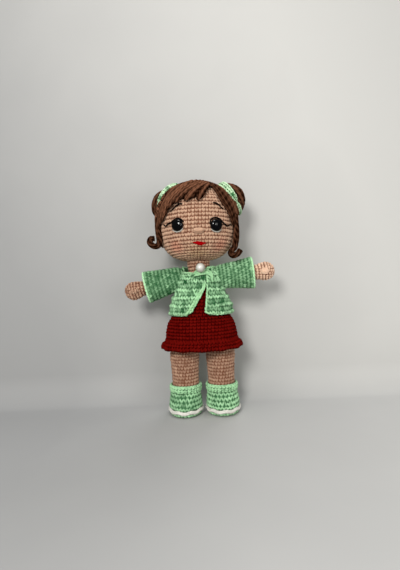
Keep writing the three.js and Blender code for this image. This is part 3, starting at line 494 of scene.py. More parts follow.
class Tube:
    """A form turned about its own axis, from rows of (up, wide, deep, ahead). The last two may be left out.

    A place on it is given by around, in turns from the front, along, in millimetres, and out of the surface.
    """

    def __init__(self, rows, place=None, swell=None):
        rows = [tuple(r) + (r[1], 0.0)[len(r) - 2 :] if len(r) < 4 else r for r in rows]
        self.curve, self.at_length = smooth_rows(rows, 600)
        self.curve[:, 1:3] = np.maximum(self.curve[:, 1:3], 0)
        self.length = self.at_length[-1]
        self.place, self.swell = place, swell
        wide, deep = self.curve[:, 1], self.curve[:, 2]
        ratio = deep.sum() / wide.sum()
        angle = np.linspace(0, 2 * math.pi, 721)
        speed = np.hypot(np.cos(angle), ratio * np.sin(angle))
        turned = np.concatenate([[0], np.cumsum((speed[1:] + speed[:-1]) / 2)])
        self.turn_angle, self.turn_share = angle, turned / turned[-1]

    def along(self, up):
        order = np.argsort(self.curve[:, 0])
        return np.interp(up, self.curve[order, 0], self.at_length[order])

    def girth(self, along):
        wide = np.interp(along, self.at_length, self.curve[:, 1])
        deep = np.interp(along, self.at_length, self.curve[:, 2])
        return math.pi * (3 * (wide + deep) - np.sqrt((3 * wide + deep) * (wide + 3 * deep)))

    def angle(self, around):
        return np.interp(np.mod(around, 1), self.turn_share, self.turn_angle)

    def share(self, angle):
        return np.interp(np.mod(angle, 2 * math.pi), self.turn_angle, self.turn_share)

    def raw(self, around, along):
        along = np.asarray(along, float)
        wide = np.interp(along, self.at_length, self.curve[:, 1])
        deep = np.interp(along, self.at_length, self.curve[:, 2])
        up = np.interp(along, self.at_length, self.curve[:, 0])
        ahead = np.interp(along, self.at_length, self.curve[:, 3])
        angle = self.angle(around)
        swell = self.swell(around, along) if self.swell else 0.0
        return np.stack([(wide + swell) * np.sin(angle), -(deep + swell) * np.cos(angle) - ahead, up], -1)

    def at(self, around, along, out=0.0):
        around, along, out = np.broadcast_arrays(
            np.asarray(around, float), np.asarray(along, float), np.asarray(out, float)
        )
        points = self.raw(around, along)
        step = 0.05
        safe = np.clip(along, 0.4, self.length - 0.4)
        girth = np.maximum(self.girth(safe), 1.0)
        across = self.raw(around + step / girth, safe) - self.raw(around - step / girth, safe)
        upward = self.raw(around, safe + step) - self.raw(around, safe - step)
        points = points + unit(np.cross(across, upward)) * out[..., None]
        return self.place(points) if self.place else points


def limb_place(side, pivot, tilt):
    """Turns a limb made along +Z about Y to its side, and moves it to its joint."""
    angle = math.radians(side * (90 - tilt))

    def place(points):
        x, y, z = points[..., 0], points[..., 1], points[..., 2]
        return np.stack(
            [
                x * math.cos(angle) + z * math.sin(angle) + pivot[0], y + pivot[1],
                -x * math.sin(angle) + z * math.cos(angle) + pivot[2],
            ],
            -1,
        )

    return place


def shifted(dx, dy, dz):
    return lambda points: points + np.array((dx, dy, dz))


def add_ground(work, tube, low, high, out, around_count=72, step=1.6, tone=0.1):
    """The ground that the stitches sit on: a closed skin with a pole at each end. Its low tone is painted
    shade where it shows between the stitches.
    """
    rows = max(4, int((high - low) / step))
    along = np.linspace(low, high, rows + 1)
    around = np.arange(around_count) / around_count
    grid = tube.at(around[None, :], along[:, None], out)
    index = np.arange((rows + 1) * around_count).reshape(rows + 1, around_count)
    following = np.roll(index, -1, axis=1)
    quads = np.stack([index[:-1], following[:-1], following[1:], index[1:]], -1).reshape(-1, 4)
    points = np.concatenate([grid.reshape(-1, 3), np.stack([grid[0].mean(0), grid[-1].mean(0)])])
    first, last = len(points) - 2, len(points) - 1
    tris = [(first, following[0, k], index[0, k]) for k in range(around_count)]
    tris += [(last, index[-1, k], following[-1, k]) for k in range(around_count)]
    work.add(points, quads, tris, tone=tone)


def add_wall(work, tube, low, high, outside, inside, around_count=96, step=1.6, tone=0.12):
    """A cloth tube with a wall: its outer and inner faces joined at both rims. Its low tone is painted shade
    where it shows between the stitches.
    """
    rows = max(3, int((high - low) / step))
    along = np.linspace(low, high, rows + 1)
    around = np.arange(around_count) / around_count
    grid = np.concatenate(
        [
            tube.at(around[None, :], along[:, None], outside),
            tube.at(around[None, :], along[::-1, None], inside),
        ]
    )
    count = len(grid)
    index = np.arange(count * around_count).reshape(count, around_count)
    lower, upper = index, np.roll(index, -1, axis=0)
    quads = np.stack(
        [lower, np.roll(lower, -1, axis=1), np.roll(upper, -1, axis=1), upper], -1
    ).reshape(-1, 4)
    work.add(grid.reshape(-1, 3), quads, tone=tone)


def add_stitches(
    work, tube, low, high, rise=STITCH_RISE, width=STITCH_WIDTH, thick=STITCH_THICK, pattern=VEE,
    lift=0.0, keep=None, shade=0.0, lean=0.0, spread=0.12, drift=0.12, taller=1.0, rows=None,
    inward=False, painted_highlight=0.16, step=1, uneven=1.0, wave=0.0,
):
    """Rounds of one stitch pattern on a tube, each a little different, kept where keep says."""
    count = max(1, round((high - low) / rise))
    levels = (
        low + (np.arange(count) + 0.5) * (high - low) / count if rows is None else np.asarray(rows, float)
    )
    tall = (high - low) / count if rows is None else rise
    starts, heights, girths, widths = [], [], [], []
    for number, level in enumerate(levels):
        girth = float(tube.girth(level))
        fits = step * max(4, round(girth / width / step))
        starts.append((np.arange(fits) + number * drift) / fits)
        heights.append(level + wave * np.sin(2 * math.pi * (5 * starts[-1] + 0.37 * number)))
        girths.append(np.full(fits, girth))
        widths.append(np.full(fits, girth / fits))
    starts, heights, girths, widths = map(np.concatenate, (starts, heights, girths, widths))
    if keep is not None:
        chosen = keep(tube.at(starts, heights, 0.0), starts)
        starts, heights, girths, widths = starts[chosen], heights[chosen], girths[chosen], widths[chosen]
    size = len(starts)
    if not size:
        return
    tilt = np.radians(lean + chance.normal(0, 5 * uneven, size))[:, None]
    bigger = (1 + chance.normal(0, 0.05, size))[:, None]
    x, y, z = (pattern.points[None, :, k] for k in range(3))
    across = (
        x * widths[:, None] * np.cos(tilt) - y * tall * taller * np.sin(tilt)
    ) * bigger + chance.normal(0, 0.1 * uneven, size)[:, None]
    upward = (
        x * widths[:, None] * np.sin(tilt) + y * tall * taller * np.cos(tilt)
    ) * bigger + chance.normal(0, 0.1 * uneven, size)[:, None]
    out = z * thick * bigger + lift + chance.normal(0, 0.06, size)[:, None]
    if inward:
        out = -out
    points = tube.at(starts[:, None] + across / girths[:, None], heights[:, None] + upward, out)
    own = (0.6 + chance.normal(0, spread, size))[:, None]
    # shade raises or lowers all of a piece's stitches: painted shade and light on most pieces, and the
    # ribbon's real patches on its band
    own = own + np.reshape(shade(tube.at(starts, heights, 0.0)) if callable(shade) else shade, (-1, 1))
    # painted shade and highlight: each lobe darker toward its inner side, and painted_highlight lighter
    # across the upper middle of each stitch, darker at its ends
    tone = own + 0.8 * np.clip(z, -0.5, 0.36) + painted_highlight * np.cos(2 * math.pi * (y - 0.1))
    lobes = np.arange(size)[:, None, None] * len(pattern.points)
    quads = pattern.quads[None] + lobes
    tris = pattern.tris[None] + lobes
    if inward:
        quads, tris = quads[..., ::-1], tris[..., ::-1]
    strand = np.broadcast_to(pattern.strand[None], (size,) + pattern.strand.shape)
    work.add(points, quads, tris, strand, np.clip(tone, 0, 1))


# Strands


def smooth_path(points, count):
    """A smooth curve through all the points."""
    points = np.asarray(points, float)
    around = np.concatenate([2 * points[:1] - points[1:2], points, 2 * points[-1:] - points[-2:-1]])
    pieces = len(around) - 3
    t = np.linspace(0, pieces, count)
    k = np.minimum(t.astype(int), pieces - 1)
    t = (t - k)[:, None]
    a, b, c, d = around[k], around[k + 1], around[k + 2], around[k + 3]
    return 0.5 * (2 * b + (c - a) * t + (2 * a - 5 * b + 4 * c - d) * t**2 + (3 * b - a - 3 * c + d) * t**3)


def add_strands(work, paths, radius, sides=6, tone=0.5, taper=None, flat=1.0):
    """Lengths of yarn along paths of the same number of points each. radius may differ along them."""
    paths = np.asarray(paths, float)
    if paths.ndim == 2:
        paths = paths[None]
    number, count = paths.shape[:2]
    tangent = unit(np.gradient(paths, axis=1))
    up = np.zeros((number, 3))
    steepest = np.abs(tangent[:, 0]).argmin(-1)
    up[np.arange(number), steepest] = 1
    first = np.empty_like(paths)
    for k in range(count):
        up = unit(up - (up * tangent[:, k]).sum(-1, keepdims=True) * tangent[:, k])
        first[:, k] = up
    second = np.cross(tangent, first)
    share = np.linspace(0, 1, count)
    size = np.full((number, count), 1.0) * np.reshape(radius, (-1, 1) if np.ndim(radius) else 1)
    if taper is not None:
        size = size * taper(share)[None]
    angle = 2 * math.pi * np.arange(sides) / sides
    ring = (
        first[:, :, None] * np.cos(angle)[None, None, :, None]
        + second[:, :, None] * np.sin(angle)[None, None, :, None] * flat
    )
    grid = paths[:, :, None] + ring * size[:, :, None, None]
    length = np.concatenate(
        [np.zeros((number, 1)), np.cumsum(np.linalg.norm(np.diff(paths, axis=1), axis=-1), 1)], 1
    ) * MM
    strand = np.empty(grid.shape)
    strand[..., 0], strand[..., 1], strand[..., 2] = np.cos(angle), np.sin(angle), length[:, :, None]
    index = np.arange(number * count * sides).reshape(number, count, sides)
    lower, upper = index[:, :-1], index[:, 1:]
    quads = np.stack(
        [lower, np.roll(lower, -1, axis=2), np.roll(upper, -1, axis=2), upper], -1
    ).reshape(-1, 4)
    tone = np.asarray(tone, float)
    tone = np.reshape(tone, (-1, 1, 1)) if tone.ndim == 1 else tone[..., None]
    tones = np.broadcast_to(tone, (number, count, sides))
    ends = np.concatenate([
        paths[:, 0] - tangent[:, 0] * size[:, :1] * 0.6,
        paths[:, -1] + tangent[:, -1] * size[:, -1:] * 0.6,
    ])
    base = number * count * sides
    tris = []
    for k in range(number):
        for j in range(sides):
            after = (j + 1) % sides
            tris.append((base + k, index[k, 0, after], index[k, 0, j]))
            tris.append((base + number + k, index[k, -1, j], index[k, -1, after]))
    points = np.concatenate([grid.reshape(-1, 3), ends])
    strand = np.concatenate([strand.reshape(-1, 3), np.tile((1.0, 0.0, 0.0), (len(ends), 1))])
    tones = np.concatenate([tones.reshape(-1), tones[:, 0, 0], tones[:, -1, -1]])
    work.add(points, quads, tris, strand, tones)


# Edge chains


def lay_chain(work, middle, along, outward, pitch, thick, turn, tone):
    """Leaning stitches, one at each place, each along the edge and proud of it."""
    along = unit(along)
    outward = unit(outward - along * (outward * along).sum(1, keepdims=True))
    across = np.cross(along, outward)
    points, quads, tris = LOBE
    angle = math.radians(turn)
    local = points * (thick * 0.85, pitch * 1.75, thick)
    x = local[:, 0] * math.cos(angle) - local[:, 1] * math.sin(angle)
    y = local[:, 0] * math.sin(angle) + local[:, 1] * math.cos(angle)
    placed = (
        middle[:, None] + across[:, None] * x[None, :, None] + along[:, None] * y[None, :, None]
        + outward[:, None] * local[None, :, 2:3]
    )
    strand = np.stack([points[:, 0] * 2, points[:, 2] * 2, points[:, 1] * pitch * MM], 1)
    shift = np.arange(len(middle))[:, None, None] * len(points)
    work.add(
        placed, quads[None] + shift, tris[None] + shift, np.broadcast_to(strand, placed.shape),
        np.clip(tone, 0, 1),
    )


def add_chain(work, path, pitch, thick, turn=18.0):
    """A chain along an open edge of the cardigan."""
    at = np.concatenate([[0], np.cumsum(np.linalg.norm(np.diff(path, axis=0), axis=1))])
    total = at[-1]
    count = max(2, round(total / pitch))
    marks = (np.arange(count) + 0.5) * total / count

    def place(where):
        return np.stack([np.interp(where, at, path[:, k]) for k in range(3)], -1)

    middle = place(marks)
    along = place(np.minimum(marks + CHAIN_STEP, total)) - middle
    depth = LOBE[0][None, :, 2]
    # painted shade: each chain lobe darker on its inner side
    tone = (0.7 + chance.normal(0, 0.12, count))[:, None] + 0.35 * np.clip(depth, -0.6, 0.4)
    lay_chain(work, middle, along, middle * (1.0, 1.0, 0.0), pitch, thick, turn, tone)


def add_ring_chain(work, path, pitch, thick, turn=18.0, bright=0.0):
    """A chain round a closed rim: a sleeve's edge, a boot's cuff or its white trim."""
    loop = np.concatenate([path, path[:1]])
    at = np.concatenate([[0], np.cumsum(np.linalg.norm(np.diff(loop, axis=0), axis=1))])
    total = at[-1]
    count = max(3, round(total / pitch))
    marks = (np.arange(count) + 0.5) * total / count

    def place(where):
        return np.stack([np.interp(where % total, at, loop[:, k]) for k in range(3)], -1)

    middle = place(marks)
    along = place(marks + CHAIN_STEP) - place(marks - CHAIN_STEP)
    depth = LOBE[0][None, :, 2]
    # painted shade: each lobe darker on its inner side; bright adds painted light to the whole rim
    tone = (0.72 + bright + chance.normal(0, 0.1, count))[:, None] + 0.5 * np.clip(depth, -0.6, 0.4)
    lay_chain(work, middle, along, middle - path.mean(0), pitch, thick, turn, tone)


# Head


def head_rows(growth):
    angle = np.linspace(-math.pi / 2, math.pi / 2, 49)
    fullness = np.where(angle > 0, HEAD_FULLNESS, CHIN_FULLNESS)
    side = np.maximum(np.cos(angle), 0) ** (2 / fullness)
    side[[0, -1]] = 0
    high = np.abs(np.sin(angle)) ** (2 / fullness) * np.sign(angle)
    up = np.where(angle > 0, high * (HEAD_RISE + growth), high * (HEAD_DROP + growth)) + HEAD_HEIGHT
    return [(u, s * (HEAD_RADIUS + growth), s * (HEAD_RADIUS + growth), 0.0) for u, s in zip(up, side)]


def on_head(share, lift=0.0):
    """A place on the front of the head from shares of its radius across and up."""
    share = np.asarray(share, float)
    across, up = share[..., 0] * HEAD_RADIUS, share[..., 1] * HEAD_RADIUS
    half = np.where(up > 0, HEAD_RISE, HEAD_DROP) + lift
    fullness = np.where(up > 0, HEAD_FULLNESS, CHIN_FULLNESS)
    reach = (HEAD_RADIUS + lift) * np.maximum(0, 1 - (np.abs(up) / half) ** fullness) ** (1 / fullness)
    return np.stack([across, -np.sqrt(np.maximum(0, reach**2 - across**2)), up + HEAD_HEIGHT], -1)


def to_head(direction, lift=0.0):
    """Where a line from the middle of the head leaves its surface, lift above it."""
    direction = unit(np.asarray(direction, float))
    flat = np.hypot(direction[..., 0], direction[..., 1])
    half = np.where(direction[..., 2] > 0, HEAD_RISE, HEAD_DROP)
    fullness = np.where(direction[..., 2] > 0, HEAD_FULLNESS, CHIN_FULLNESS)
    reach = (
        (flat / HEAD_RADIUS) ** fullness + (np.abs(direction[..., 2]) / half) ** fullness
    ) ** (-1 / fullness)
    return direction * (reach + lift)[..., None] + np.array((0, 0, HEAD_HEIGHT))


def inside_outline(x, y, outline):
    inside = np.zeros(np.shape(x), bool)
    for (ax, ay), (bx, by) in zip(outline, outline[1:] + outline[:1]):
        crosses = (ay > y) != (by > y)
        inside ^= crosses & (x < (bx - ax) * (y - ay) / ((by - ay) or 1e-9) + ax)
    return inside


FACE_OUTLINE = [
    (x * 1.02 + 0.03 * (x > 0) - 0.03 * (x < 0), y + 0.07) for x, y in FRINGE_EDGE[::-1] + SWEEP_EDGE[1:]
]
FACE_OUTLINE = FACE_OUTLINE + [(1.1, -0.3), (1.1, -1.4), (-1.1, -1.4), (-1.1, -0.3)]


def bare_head(points, around):
    """True where no hair covers the head: the face, the chin and the nape."""
    across, up = points[..., 0] / HEAD_RADIUS, (points[..., 2] - HEAD_HEIGHT) / HEAD_RADIUS
    face = inside_outline(across, up, FACE_OUTLINE) & (points[..., 1] < -HEAD_RADIUS * 0.1)
    nape = up < -0.38 + 0.16 * points[..., 1] / HEAD_RADIUS
    return face | nape


def make_head():
    tube = Tube(head_rows(0.0))
    work = Yarnwork()
    add_ground(work, tube, 0.0, tube.length, -1.15, tone=0.12)
    add_stitches(work, tube, 2.0, tube.length - 2, keep=bare_head, **FACE_STITCH)
    head = work.make("head_skin", "skin")
    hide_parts("head", "head_stuffing")
    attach(head, "head")


NECK_ROWS = [(-9.6, 2.0), (-7.5, 7.6), (-5.5, 10.2), (0, 10.6), (6.2, 11.4), (12, 11.5), (NECK_LENGTH, 11.5)]


def make_neck():
    tube = Tube(NECK_ROWS, place=shifted(0, 0, NECK_HEIGHT))
    work = Yarnwork()
    add_ground(work, tube, 0.2, tube.length - 0.2, -1.1, around_count=40)
    add_stitches(work, tube, 7.0, tube.length, **NECK_STITCH)
    neck = work.make("neck_skin", "skin")
    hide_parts("neck")
    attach(neck, "neck")


# Face


def make_eye(name, side):
    share = (side * EYE_PLACE[0], EYE_HEIGHTS[name])
    at = on_head(share, 0.5)
    out = at - np.array((0, 0, HEAD_HEIGHT))
    out /= np.linalg.norm(out)
    bpy.ops.object.select_all(action="DESELECT")
    bpy.ops.mesh.primitive_uv_sphere_add(segments=40, ring_count=20, radius=1.0)
    eye = bpy.context.active_object
    eye.name = f"{name}_eye_dome"
    eye.scale = (EYE_RADIUS * 1.2 * MM, EYE_RADIUS * 1.12 * MM, EYE_PROUD * 1.05 * MM)
    eye.rotation_mode = "QUATERNION"
    eye.rotation_quaternion = Vector(out).to_track_quat("Z", "Y")
    eye.location = Vector(at * MM)
    bpy.ops.object.transform_apply(location=True, rotation=True, scale=True)
    bpy.ops.object.shade_smooth()
    eye.data.materials.append(EYE_FINISH)
    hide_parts(f"{name}_eye", f"{name}_eye_washer")
    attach(eye, "head")


def beside_eye(side, height, places, lift):
    """Places on the head round an eye, given in shares of the eye's radius."""
    places = np.asarray(places, float) * EYE_RADIUS / HEAD_RADIUS
    return on_head(np.stack([side * (EYE_PLACE[0] + places[:, 0]), height + places[:, 1]], -1), lift)


def make_eye_crescent(name, side):
    angle = np.radians(np.linspace(212, 328, 9))
    reach = 1.19
    places = np.stack([reach * np.cos(angle), reach * np.sin(angle)], -1)
    path = smooth_path(beside_eye(side, EYE_HEIGHTS[name], places, 0.5), 30)
    work = Yarnwork()
    add_strands(work, path, 0.5, tone=0.45, taper=lambda t: 0.35 + 0.65 * np.sin(math.pi * t) ** 0.5)
    white = work.make(f"{name}_eye_crescent", "white")
    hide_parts(f"{name}_eye_white")
    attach(white, "head")


def make_lashes(name, side):
    height = EYE_PLACE[1] * 0.5 + EYE_HEIGHTS[name] * 0.5
    path = smooth_path(beside_eye(side, height, LASHES[name], 0.9), 48)
    work = Yarnwork()
    add_strands(work, path, 0.8, tone=0.3, taper=lambda t: 0.72 + 0.28 * np.sin(math.pi * t))
    lashes = work.make(f"{name}_lash_thread", "black")
    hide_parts(f"{name}_lashes")
    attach(lashes, "head")


def make_brow(name):
    path = smooth_path(on_head(BROWS[name], 0.8), 28)
    work = Yarnwork()
    add_strands(work, path, 0.78, tone=0.3, taper=lambda t: 0.6 + 0.4 * np.sin(math.pi * t) ** 0.6)
    brow = work.make(f"{name}_brow_thread", "black")
    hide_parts(f"{name}_brow")
    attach(brow, "head")


# Each wrap: up, half width, how proud it stands, and tone; the tone is painted light and shade, the top wraps
# lighter and the lower ones darker
NOSE_WRAPS = ((1.5, 4.3, 1.3, 1.0), (0.4, 4.7, 2.1, 0.92), (-0.8, 4.5, 2.2, 0.72), (-1.9, 3.6, 1.5, 0.55))


def make_nose():
    work = Yarnwork()
    for up, half, proud, tone in NOSE_WRAPS:
        t = np.linspace(-1, 1, 17)
        across, high = NOSE_PLACE[0] + t * half / HEAD_RADIUS, NOSE_PLACE[1] + (up - 0.3 * t**2) / HEAD_RADIUS
        share = np.stack([across, high], -1)
        lift = proud * np.sqrt(np.maximum(0, 1 - t**4)) - 0.6
        path = np.array([on_head(s, float(h)) for s, h in zip(share, lift)])
        add_strands(work, path, 0.72, tone=tone)
    nose = work.make("nose_wraps", "skin")
    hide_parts("nose")
    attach(nose, "head")


MOUTH_THREADS = ((0.75, 3.2, 0.2), (0.15, 6.2, 0.2), (-0.45, 5.6, 0.05), (-1.05, 3.8, 0.0), (-1.6, 2.2, 0.0))


def make_mouth():
    work = Yarnwork()
    for up, half, dip in MOUTH_THREADS:
        t = np.linspace(-1, 1, 17)
        across = MOUTH_PLACE[0] + t * half / HEAD_RADIUS
        high = MOUTH_PLACE[1] + (up - 0.5 * t - dip * np.exp(-12 * t**2)) / HEAD_RADIUS
        share = np.stack([across, high], -1)
        add_strands(
            work,
            on_head(share, 0.55),
            0.62,
            tone=0.75,
            taper=lambda t: 0.45 + 0.55 * np.sin(math.pi * t) ** 0.6,
        )
    mouth = work.make("mouth_stitches", "lip")
    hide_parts("mouth")
    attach(mouth, "head")


# Hair


def bend(first, middle, last, lift):
    """A strand over the head from one direction past another to a third."""
    t = np.linspace(0, 1, 26)[:, None]
    first, middle, last = (np.asarray(d, float) / np.linalg.norm(d) for d in (first, middle, last))
    direction = (1 - t) ** 2 * first + 2 * t * (1 - t) * middle + t**2 * last
    return to_head(direction, lift)


def along_list(places, q):
    places = np.asarray(places, float)
    at = np.linspace(0, 1, len(places))
    return np.stack([np.interp(q, at, places[:, k]) for k in range(places.shape[1])], -1)


def bun_axis(name, angles=BUN_ANGLES):
    rise, back = (math.radians(a) for a in angles[name])
    return np.array(
        (SIDES[name] * math.cos(rise) * math.cos(back), math.sin(back), math.sin(rise) * math.cos(back))
    )


CAP_LIFT = 2.75


def add_hair_ground(work):
    """The layer of yarn sewn to the head, from the parting back to the nape. Its dark tone is painted shade
    where it shows between the strands.
    """
    tube = Tube(head_rows(0.0))
    count, rows = 96, 60
    around = np.arange(count) / count
    along = np.linspace(0, tube.length, rows + 1)
    grid = tube.at(around[None, :], along[:, None], 1.9)
    raised = grid.copy()
    raised[..., 2] += 5.0 * np.clip((grid[..., 1] / HEAD_RADIUS + 0.05) / 0.3, 0, 1)
    covered = ~bare_head(raised, None)
    index = np.arange(grid.shape[0] * count).reshape(grid.shape[:2])
    quads = np.stack([index[:-1], np.roll(index, -1, 1)[:-1], np.roll(index, -1, 1)[1:], index[1:]], -1)
    full = covered[:-1] & covered[1:] & np.roll(covered, -1, 1)[:-1] & np.roll(covered, -1, 1)[1:]
    quads = quads[full]
    inner = tube.at(around[None, :], along[:, None], 0.2)
    edges = {}
    for quad in quads:
        for a, b in zip(quad, np.roll(quad, -1)):
            edges[(a, b)] = edges.get((b, a), 0) + 1
    rim = [(a, b) for (a, b) in edges if (b, a) not in edges]
    size = grid.shape[0] * count
    sides = [(b, a, a + size, b + size) for a, b in rim]
    work.add(
        np.concatenate([grid.reshape(-1, 3), inner.reshape(-1, 3)]),
        np.concatenate([quads, quads[:, ::-1] + size, np.array(sides)]), tone=0.05,
    )


BACK_EDGE = [
    (0.30, -0.50, 0.83), (0.28, -0.22, 0.97), (0.16, 0.05, 1.0), (0.05, 0.4, 0.92), (0.0, 0.72, 0.68),
    (0.0, 0.93, 0.35), (0.0, 1.0, 0.0), (0.0, 0.93, -0.35), (0.0, 0.87, -0.5),
]
NAPE_EDGE = [
    (0.3, 0.84, -0.5), (0.62, 0.62, -0.52), (0.86, 0.28, -0.52), (0.97, -0.05, -0.45), (0.98, -0.25, -0.25)
]
TEMPLE_EDGE = [(0.97, -0.36, -0.05), (0.9, -0.42, 0.15)]
FRONT_EDGES = {
    "left": [(0.86, -0.42, 0.35), (0.68, -0.48, 0.6), (0.5, -0.45, 0.78), (0.38, -0.5, 0.8)],
    "right": [
        (-0.84, -0.5, 0.3), (-0.7, -0.6, 0.5), (-0.4, -0.62, 0.72), (0.0, -0.6, 0.8), (0.3, -0.5, 0.83)
    ],
}
CAP_STRANDS = 170


def make_cap():
    """Strands at the back and sides, from the parting and the nape to each bun."""
    work = Yarnwork()
    add_hair_ground(work)
    for name, side in SIDES.items():
        axis = bun_axis(name)
        beside = [(side * x, y, z) for x, y, z in NAPE_EDGE + TEMPLE_EDGE]
        edge = BACK_EDGE + beside + FRONT_EDGES[name]
        paths, tones = [], []
        for k in range(CAP_STRANDS):
            q = (k + chance.uniform(-0.3, 0.3)) / (CAP_STRANDS - 1)
            start = unit(along_list(edge, np.clip(q, 0, 1)))
            toward = unit(start - axis * (start @ axis))
            open_angle = math.radians(19 + chance.uniform(-1.5, 1.5))
            end = axis * math.cos(open_angle) + toward * math.sin(open_angle)
            middle = unit(start + end) + 0.05 * np.cross(axis, toward) * chance.normal(0, 1)
            paths.append(bend(start, middle, end, lift=CAP_LIFT + chance.uniform(-0.25, 0.35)))
            tones.append(0.58 + chance.normal(0, 0.26))
        add_strands(work, np.array(paths), 0.8, tone=np.clip(tones, 0.1, 0.8))
    cap = work.make("hair_strands", "hair")
    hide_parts("hair_cap")
    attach(cap, "head")


FRINGE_ROOTS = [
    (0.36, 0.83), (0.33, 0.87), (0.30, 0.90), (0.26, 0.93), (0.2, 0.955), (0.12, 0.97), (0.02, 0.975),
    (-0.1, 0.975),
]
FRINGE_MIDDLES = [
    (0.25, 0.66), (0.12, 0.68), (-0.1, 0.72), (-0.3, 0.7), (-0.5, 0.66), (-0.64, 0.6), (-0.74, 0.54),
    (-0.8, 0.58),
]
FRINGE_TIPS = [
    (0.16, 0.4), (-0.03, 0.38), (-0.32, 0.39), (-0.53, 0.36), (-0.67, 0.25), (-0.77, 0.12), (-0.86, -0.04),
    (-0.96, -0.12),
]
FRINGE_CLUMPS = np.array([0.08, 0.25, 0.4, 0.54, 0.68, 0.83, 0.97])


def make_fringe():
    """Hair combed from the parting to the doll's right, in clumps with pointed ends."""
    work = Yarnwork()
    for layer, number in ((0, 38), (1, 60)):
        paths, tones = [], []
        for k in range(number):
            q = k / (number - 1)
            centre = FRINGE_CLUMPS[np.abs(FRINGE_CLUMPS - q).argmin()]
            t = np.linspace(0, 1, 26)
            pulled = np.clip(q + (centre - q) * 0.38 * t**3, 0, 1)
            root, middle, tip = (
                along_list(table, pulled) for table in (FRINGE_ROOTS, FRINGE_MIDDLES, FRINGE_TIPS)
            )
            share = (1 - t)[:, None] ** 2 * root + 2 * (t * (1 - t))[:, None] * middle + (t**2)[:, None] * tip
            reach = 1 - 0.1 * (abs(centre - q) / 0.08) ** 2
            share = share[0] + (share - share[0]) * reach
            over = 1.7 + 1.35 * layer + 1.0 * np.cos((q - centre) * 28)
            drop = np.where(t > 0.85, (t - 0.85) / 0.15 * 0.8, 0)
            lifts = [float(over + chance.uniform(-0.1, 0.1) - d) for d in drop]
            paths.append(np.array([on_head(s, lift) for s, lift in zip(share, lifts)]))
            # painted shade: strands darker at the edges of each clump; the tone also falls toward the tips
            tones.append(
                (0.3 + 0.2 * t) * np.cos((q - centre) * 28) + chance.normal(0, 0.18) + 0.5 * (0.74 - t)
            )
        add_strands(
            work,
            np.array(paths),
            0.78,
            tone=np.clip(tones, 0.05, 0.95),
            taper=lambda t: np.where(t > 0.85, 1 - 0.35 * ((t - 0.85) / 0.15) ** 2, 1.0),
        )
    paths, tones = [], []
    for k in range(20):
        q = (k % 10) / 9 + chance.uniform(-0.04, 0.04)
        root = np.array((-0.08, 0.985)) * (1 - q) + np.array((-0.66, 0.74)) * q
        middle = np.array((-0.84, 0.6)) * (1 - q) + np.array((-0.95, 0.34)) * q
        tip = np.array((-0.94, -0.12)) * (1 - q) + np.array((-0.995, -0.1)) * q
        t = np.linspace(0, 1, 26)[:, None]
        share = (1 - t) ** 2 * root + 2 * t * (1 - t) * middle + t**2 * tip
        share = share / np.maximum(1, np.hypot(share[:, 0], share[:, 1]) / 0.995)[:, None]
        paths.append(np.array([on_head(s, 2.7 + 0.8 * (k // 10) + chance.uniform(-0.1, 0.1)) for s in share]))
        tones.append(0.34 + chance.normal(0, 0.22))
    add_strands(work, np.array(paths), 0.8, tone=np.clip(tones, 0.05, 0.95))
    fringe = work.make("fringe_strands", "hair")
    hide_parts("fringe")
    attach(fringe, "head")


SWEEP_OUTER_EDGE = [
    (0.36, 0.9), (0.52, 0.84), (0.7, 0.68), (0.83, 0.5), (0.93, 0.28), (0.985, 0.06), (1.0, -0.14)
]


def make_side_sweep():
    """Strands on the doll's left that follow the hairline from the parting to the temple."""
    work = Yarnwork()
    for layer, number in ((0, 9), (1, 12)):
        paths, tones = [], []
        for k in range(number):
            q = k / (number - 1)
            share = smooth_path(np.array(SWEEP_EDGE) * (1 - q) + np.array(SWEEP_OUTER_EDGE) * q, 26)
            lifted = 1.8 + 1.2 * layer
            flat = np.hypot(share[:, 0], share[:, 1])
            share = share / np.maximum(1, flat / 0.995)[:, None]
            paths.append(np.array([on_head(s, lifted + chance.uniform(-0.15, 0.15)) for s in share]))
            tones.append(0.08 + chance.normal(0, 0.24))
        add_strands(work, np.array(paths), 0.82, tone=np.clip(tones, 0.05, 0.95))
    sweep = work.make("side_sweep_strands", "hair")
    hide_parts("side_sweep")
    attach(sweep, "head")


def make_lock(name):
    """Five strands twisted together, with a curl at the end."""
    work = Yarnwork()
    centre = smooth_path(
        np.array([(x, -y, z) for x, y, z in LOCKS[name]]) * HEAD_RADIUS + np.array((0, 0, HEAD_HEIGHT)), 70
    )
    share = np.linspace(0, 1, 70)
    thick = 2.6 * (1 - share**2) + 2.5 * share**2
    tangent = unit(np.gradient(centre, axis=0))
    forward = np.array((0.0, -1.0, 0.0))
    first = unit(forward - tangent * (tangent @ forward)[:, None])
    second = np.cross(tangent, first)
    paths, tones = [], []
    for k in range(5):
        angle = 2 * math.pi * (k / 5 + share * 0.7)
        reach = thick * 0.62
        paths.append(
            centre + (first * np.cos(angle)[:, None] + second * np.sin(angle)[:, None]) * reach[:, None]
        )
        tones.append(0.1 + chance.normal(0, 0.1))
    add_strands(
        work, np.array(paths), 1.5, sides=7, tone=np.clip(tones, 0.05, 0.9), taper=lambda t: 1 - 0.1 * t**2
    )
    lock = work.make(f"{name}_lock_strands", "hair")
    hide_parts(f"{name}_lock")
    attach(lock, "head")


def axis_frame(axis):
    side = unit(np.cross((0.0, 1.0, 0.0), axis))
    return side, np.cross(axis, side)


BUN_ROWS = [
    (-13.5, 6.0), (-12.0, 10.0), (-8, 14.4), (0, 16.0), (7, 14.4), (12, 10.0), (15.0, 5.4), (16.0, 0.0)
]


